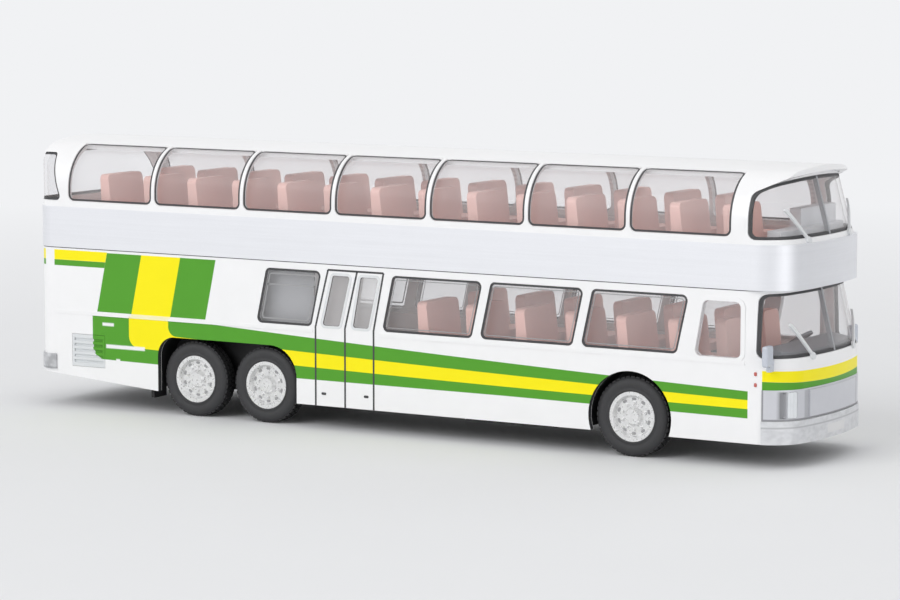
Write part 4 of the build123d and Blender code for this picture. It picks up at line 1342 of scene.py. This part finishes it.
# Softboxes: name, place, aim and size in metres, and power in watts
SOFTBOXES = (
    ("key_softbox", (-0.45, -1.25, 0.85), (0.0, 0.0, 0.02), 1.2, 10.0),
    ("fill_softbox", (1.3, -0.4, 0.24), (0.0, 0.0, 0.02), 0.9, 3.0),
    ("top_softbox", (0.0, 0.25, 1.5), (0.0, 0.0, 0.0), 1.4, 3.0),
    ("back_softbox", (0.4, 1.3, 0.6), (0.0, 0.0, 0.02), 1.2, 3.0),
)
SKY_LEVEL = 0.75
# Floor's brightness against the backdrop, and how much its grain darkens it
FLOOR_SHADE = 0.92
FLOOR_GRAIN = 0.985
# Grey card that only shiny surfaces see: the way it lies, its edge and softness, its shade
CARD_WAY = (0.6, 0.8, 0.0)
CARD_EDGE = (0.6, 0.4)
CARD_SHADE = 0.12


def backdrop_share(graph):
    """1 for rays that see the backdrop: from the camera, a mirror or clear plastic."""
    camera = graph.node("ShaderNodeLightPath", output="Is Camera Ray")
    seen = camera.most(camera.other("Is Glossy Ray"))
    return seen.most(camera.other("Is Transmission Ray"))


def make_floor(paint):
    """Pale floor that fades into the backdrop away from the coach."""
    mesh = bpy.data.meshes.new("studio_floor")
    work = bmesh.new()
    radius = FLOOR_RADIUS * METRE
    bmesh.ops.create_circle(work, cap_ends=True, segments=FLOOR_STEPS, radius=radius)
    work.to_mesh(mesh)
    work.free()
    floor = bpy.data.objects.new("studio_floor", mesh)
    bpy.context.scene.collection.objects.link(floor)
    recipe = Recipe("studio_floor")
    away = (recipe.x * recipe.x + recipe.y * recipe.y).root()
    span = 1.0 / (FLOOR_FAR - FLOOR_NEAR)
    far = ((away - FLOOR_NEAR) * span).maths("ADD", 0.0, clamp=True)
    grain = recipe.noise(*FLOOR_CLOUD)
    pale = rgba(paint.backdrop, FLOOR_SHADE)
    base = recipe.blend(grain, rgba(paint.backdrop, FLOOR_SHADE * FLOOR_GRAIN), pale)
    card = recipe.shiny({"Base Color": base, "Roughness": 0.9})
    glow = recipe.node("ShaderNodeEmission", None, {"Color": rgba(paint.backdrop)})
    share = far * backdrop_share(recipe)
    both = recipe.node("ShaderNodeMixShader", None, {0: share, 1: card, 2: glow})
    mesh.materials.append(recipe.show(both))


def make_sky(paint):
    """Even studio sky, seen as the backdrop's colour, with a grey card for shiny surfaces."""
    world = bpy.data.worlds.new("studio_sky")
    bpy.context.scene.world = world
    world.use_nodes = True
    world.node_tree.nodes.clear()
    graph = Graph(world.node_tree)
    light = graph.node("ShaderNodeBackground", None, {"Strength": SKY_LEVEL})
    way = graph.node("ShaderNodeTexCoord", output="Generated")
    settings = {"operation": "DOT_PRODUCT"}
    facing = graph.node("ShaderNodeVectorMath", settings, {0: way, 1: CARD_WAY}, "Value")
    card = graph.node("ShaderNodeLightPath", output="Is Glossy Ray") * facing.over(*CARD_EDGE)
    colour = graph.blend(card, rgba(paint.backdrop), rgba(paint.backdrop, CARD_SHADE))
    seen = graph.node("ShaderNodeBackground", None, {"Color": colour})
    inputs = {0: backdrop_share(graph), 1: light, 2: seen}
    both = graph.node("ShaderNodeMixShader", None, inputs)
    graph.node("ShaderNodeOutputWorld", None, {"Surface": both})


def aimed(obj, place, aim):
    """Puts a lamp or camera at a place, looking at an aim."""
    obj.location = place
    obj.rotation_euler = (Vector(aim) - Vector(place)).to_track_quat("-Z", "Y").to_euler()
    bpy.context.scene.collection.objects.link(obj)


class COACH_OT_set_stage(bpy.types.Operator):
    """Sets the floor, the soft light and the camera"""

    bl_idname = "coach.set_stage"
    bl_label = "Set stage"

    def execute(self, context):
        make_floor(finish())
        make_sky(finish())
        for name, place, aim, size, power in SOFTBOXES:
            lamp = bpy.data.lights.new(name, "AREA")
            lamp.shape = "DISK"
            lamp.size = size
            lamp.energy = power
            aimed(bpy.data.objects.new(name, lamp), place, aim)
        view = bpy.data.cameras.new("photo_camera")
        view.lens = CAMERA_LENS
        view.clip_start, view.clip_end = CAMERA_CLIP
        camera = bpy.data.objects.new("photo_camera", view)
        aimed(camera, CAMERA_AT, CAMERA_AIM)
        context.scene.camera = camera
        context.scene.view_settings.view_transform = "Standard"
        return {"FINISHED"}


OPERATORS = (
    COACH_OT_paint_shells,
    COACH_OT_trim_sides,
    COACH_OT_glaze,
    COACH_OT_furnish,
    COACH_OT_fit_ends,
    COACH_OT_run_wheels,
    COACH_OT_set_stage,
)


class COACH_PT_sidebar(bpy.types.Panel):
    """Sidebar with the coach's settings and its steps"""

    bl_idname = "COACH_PT_sidebar"
    bl_label = "Touring coach"
    bl_space_type = "VIEW_3D"
    bl_region_type = "UI"
    bl_category = "Coach"

    def draw(self, context):
        layout = self.layout
        for group in (context.scene.coach_finish, context.scene.coach_trim):
            for name in group.__annotations__:
                layout.prop(group, name)
        for operator in OPERATORS:
            layout.operator(operator.bl_idname)


CLASSES = (CoachFinish, CoachTrim, *OPERATORS, COACH_PT_sidebar)


def register():
    for cls in CLASSES:
        bpy.utils.register_class(cls)
    bpy.types.Scene.coach_finish = bpy.props.PointerProperty(type=CoachFinish)
    bpy.types.Scene.coach_trim = bpy.props.PointerProperty(type=CoachTrim)


def unregister():
    del bpy.types.Scene.coach_trim
    del bpy.types.Scene.coach_finish
    for cls in reversed(CLASSES):
        bpy.utils.unregister_class(cls)


def main():
    register()
    bpy.ops.coach.paint_shells()
    bpy.ops.coach.trim_sides()
    bpy.ops.coach.glaze()
    bpy.ops.coach.furnish()
    bpy.ops.coach.fit_ends()
    bpy.ops.coach.run_wheels()
    bpy.ops.coach.set_stage()


if __name__ == "__main__":
    main()
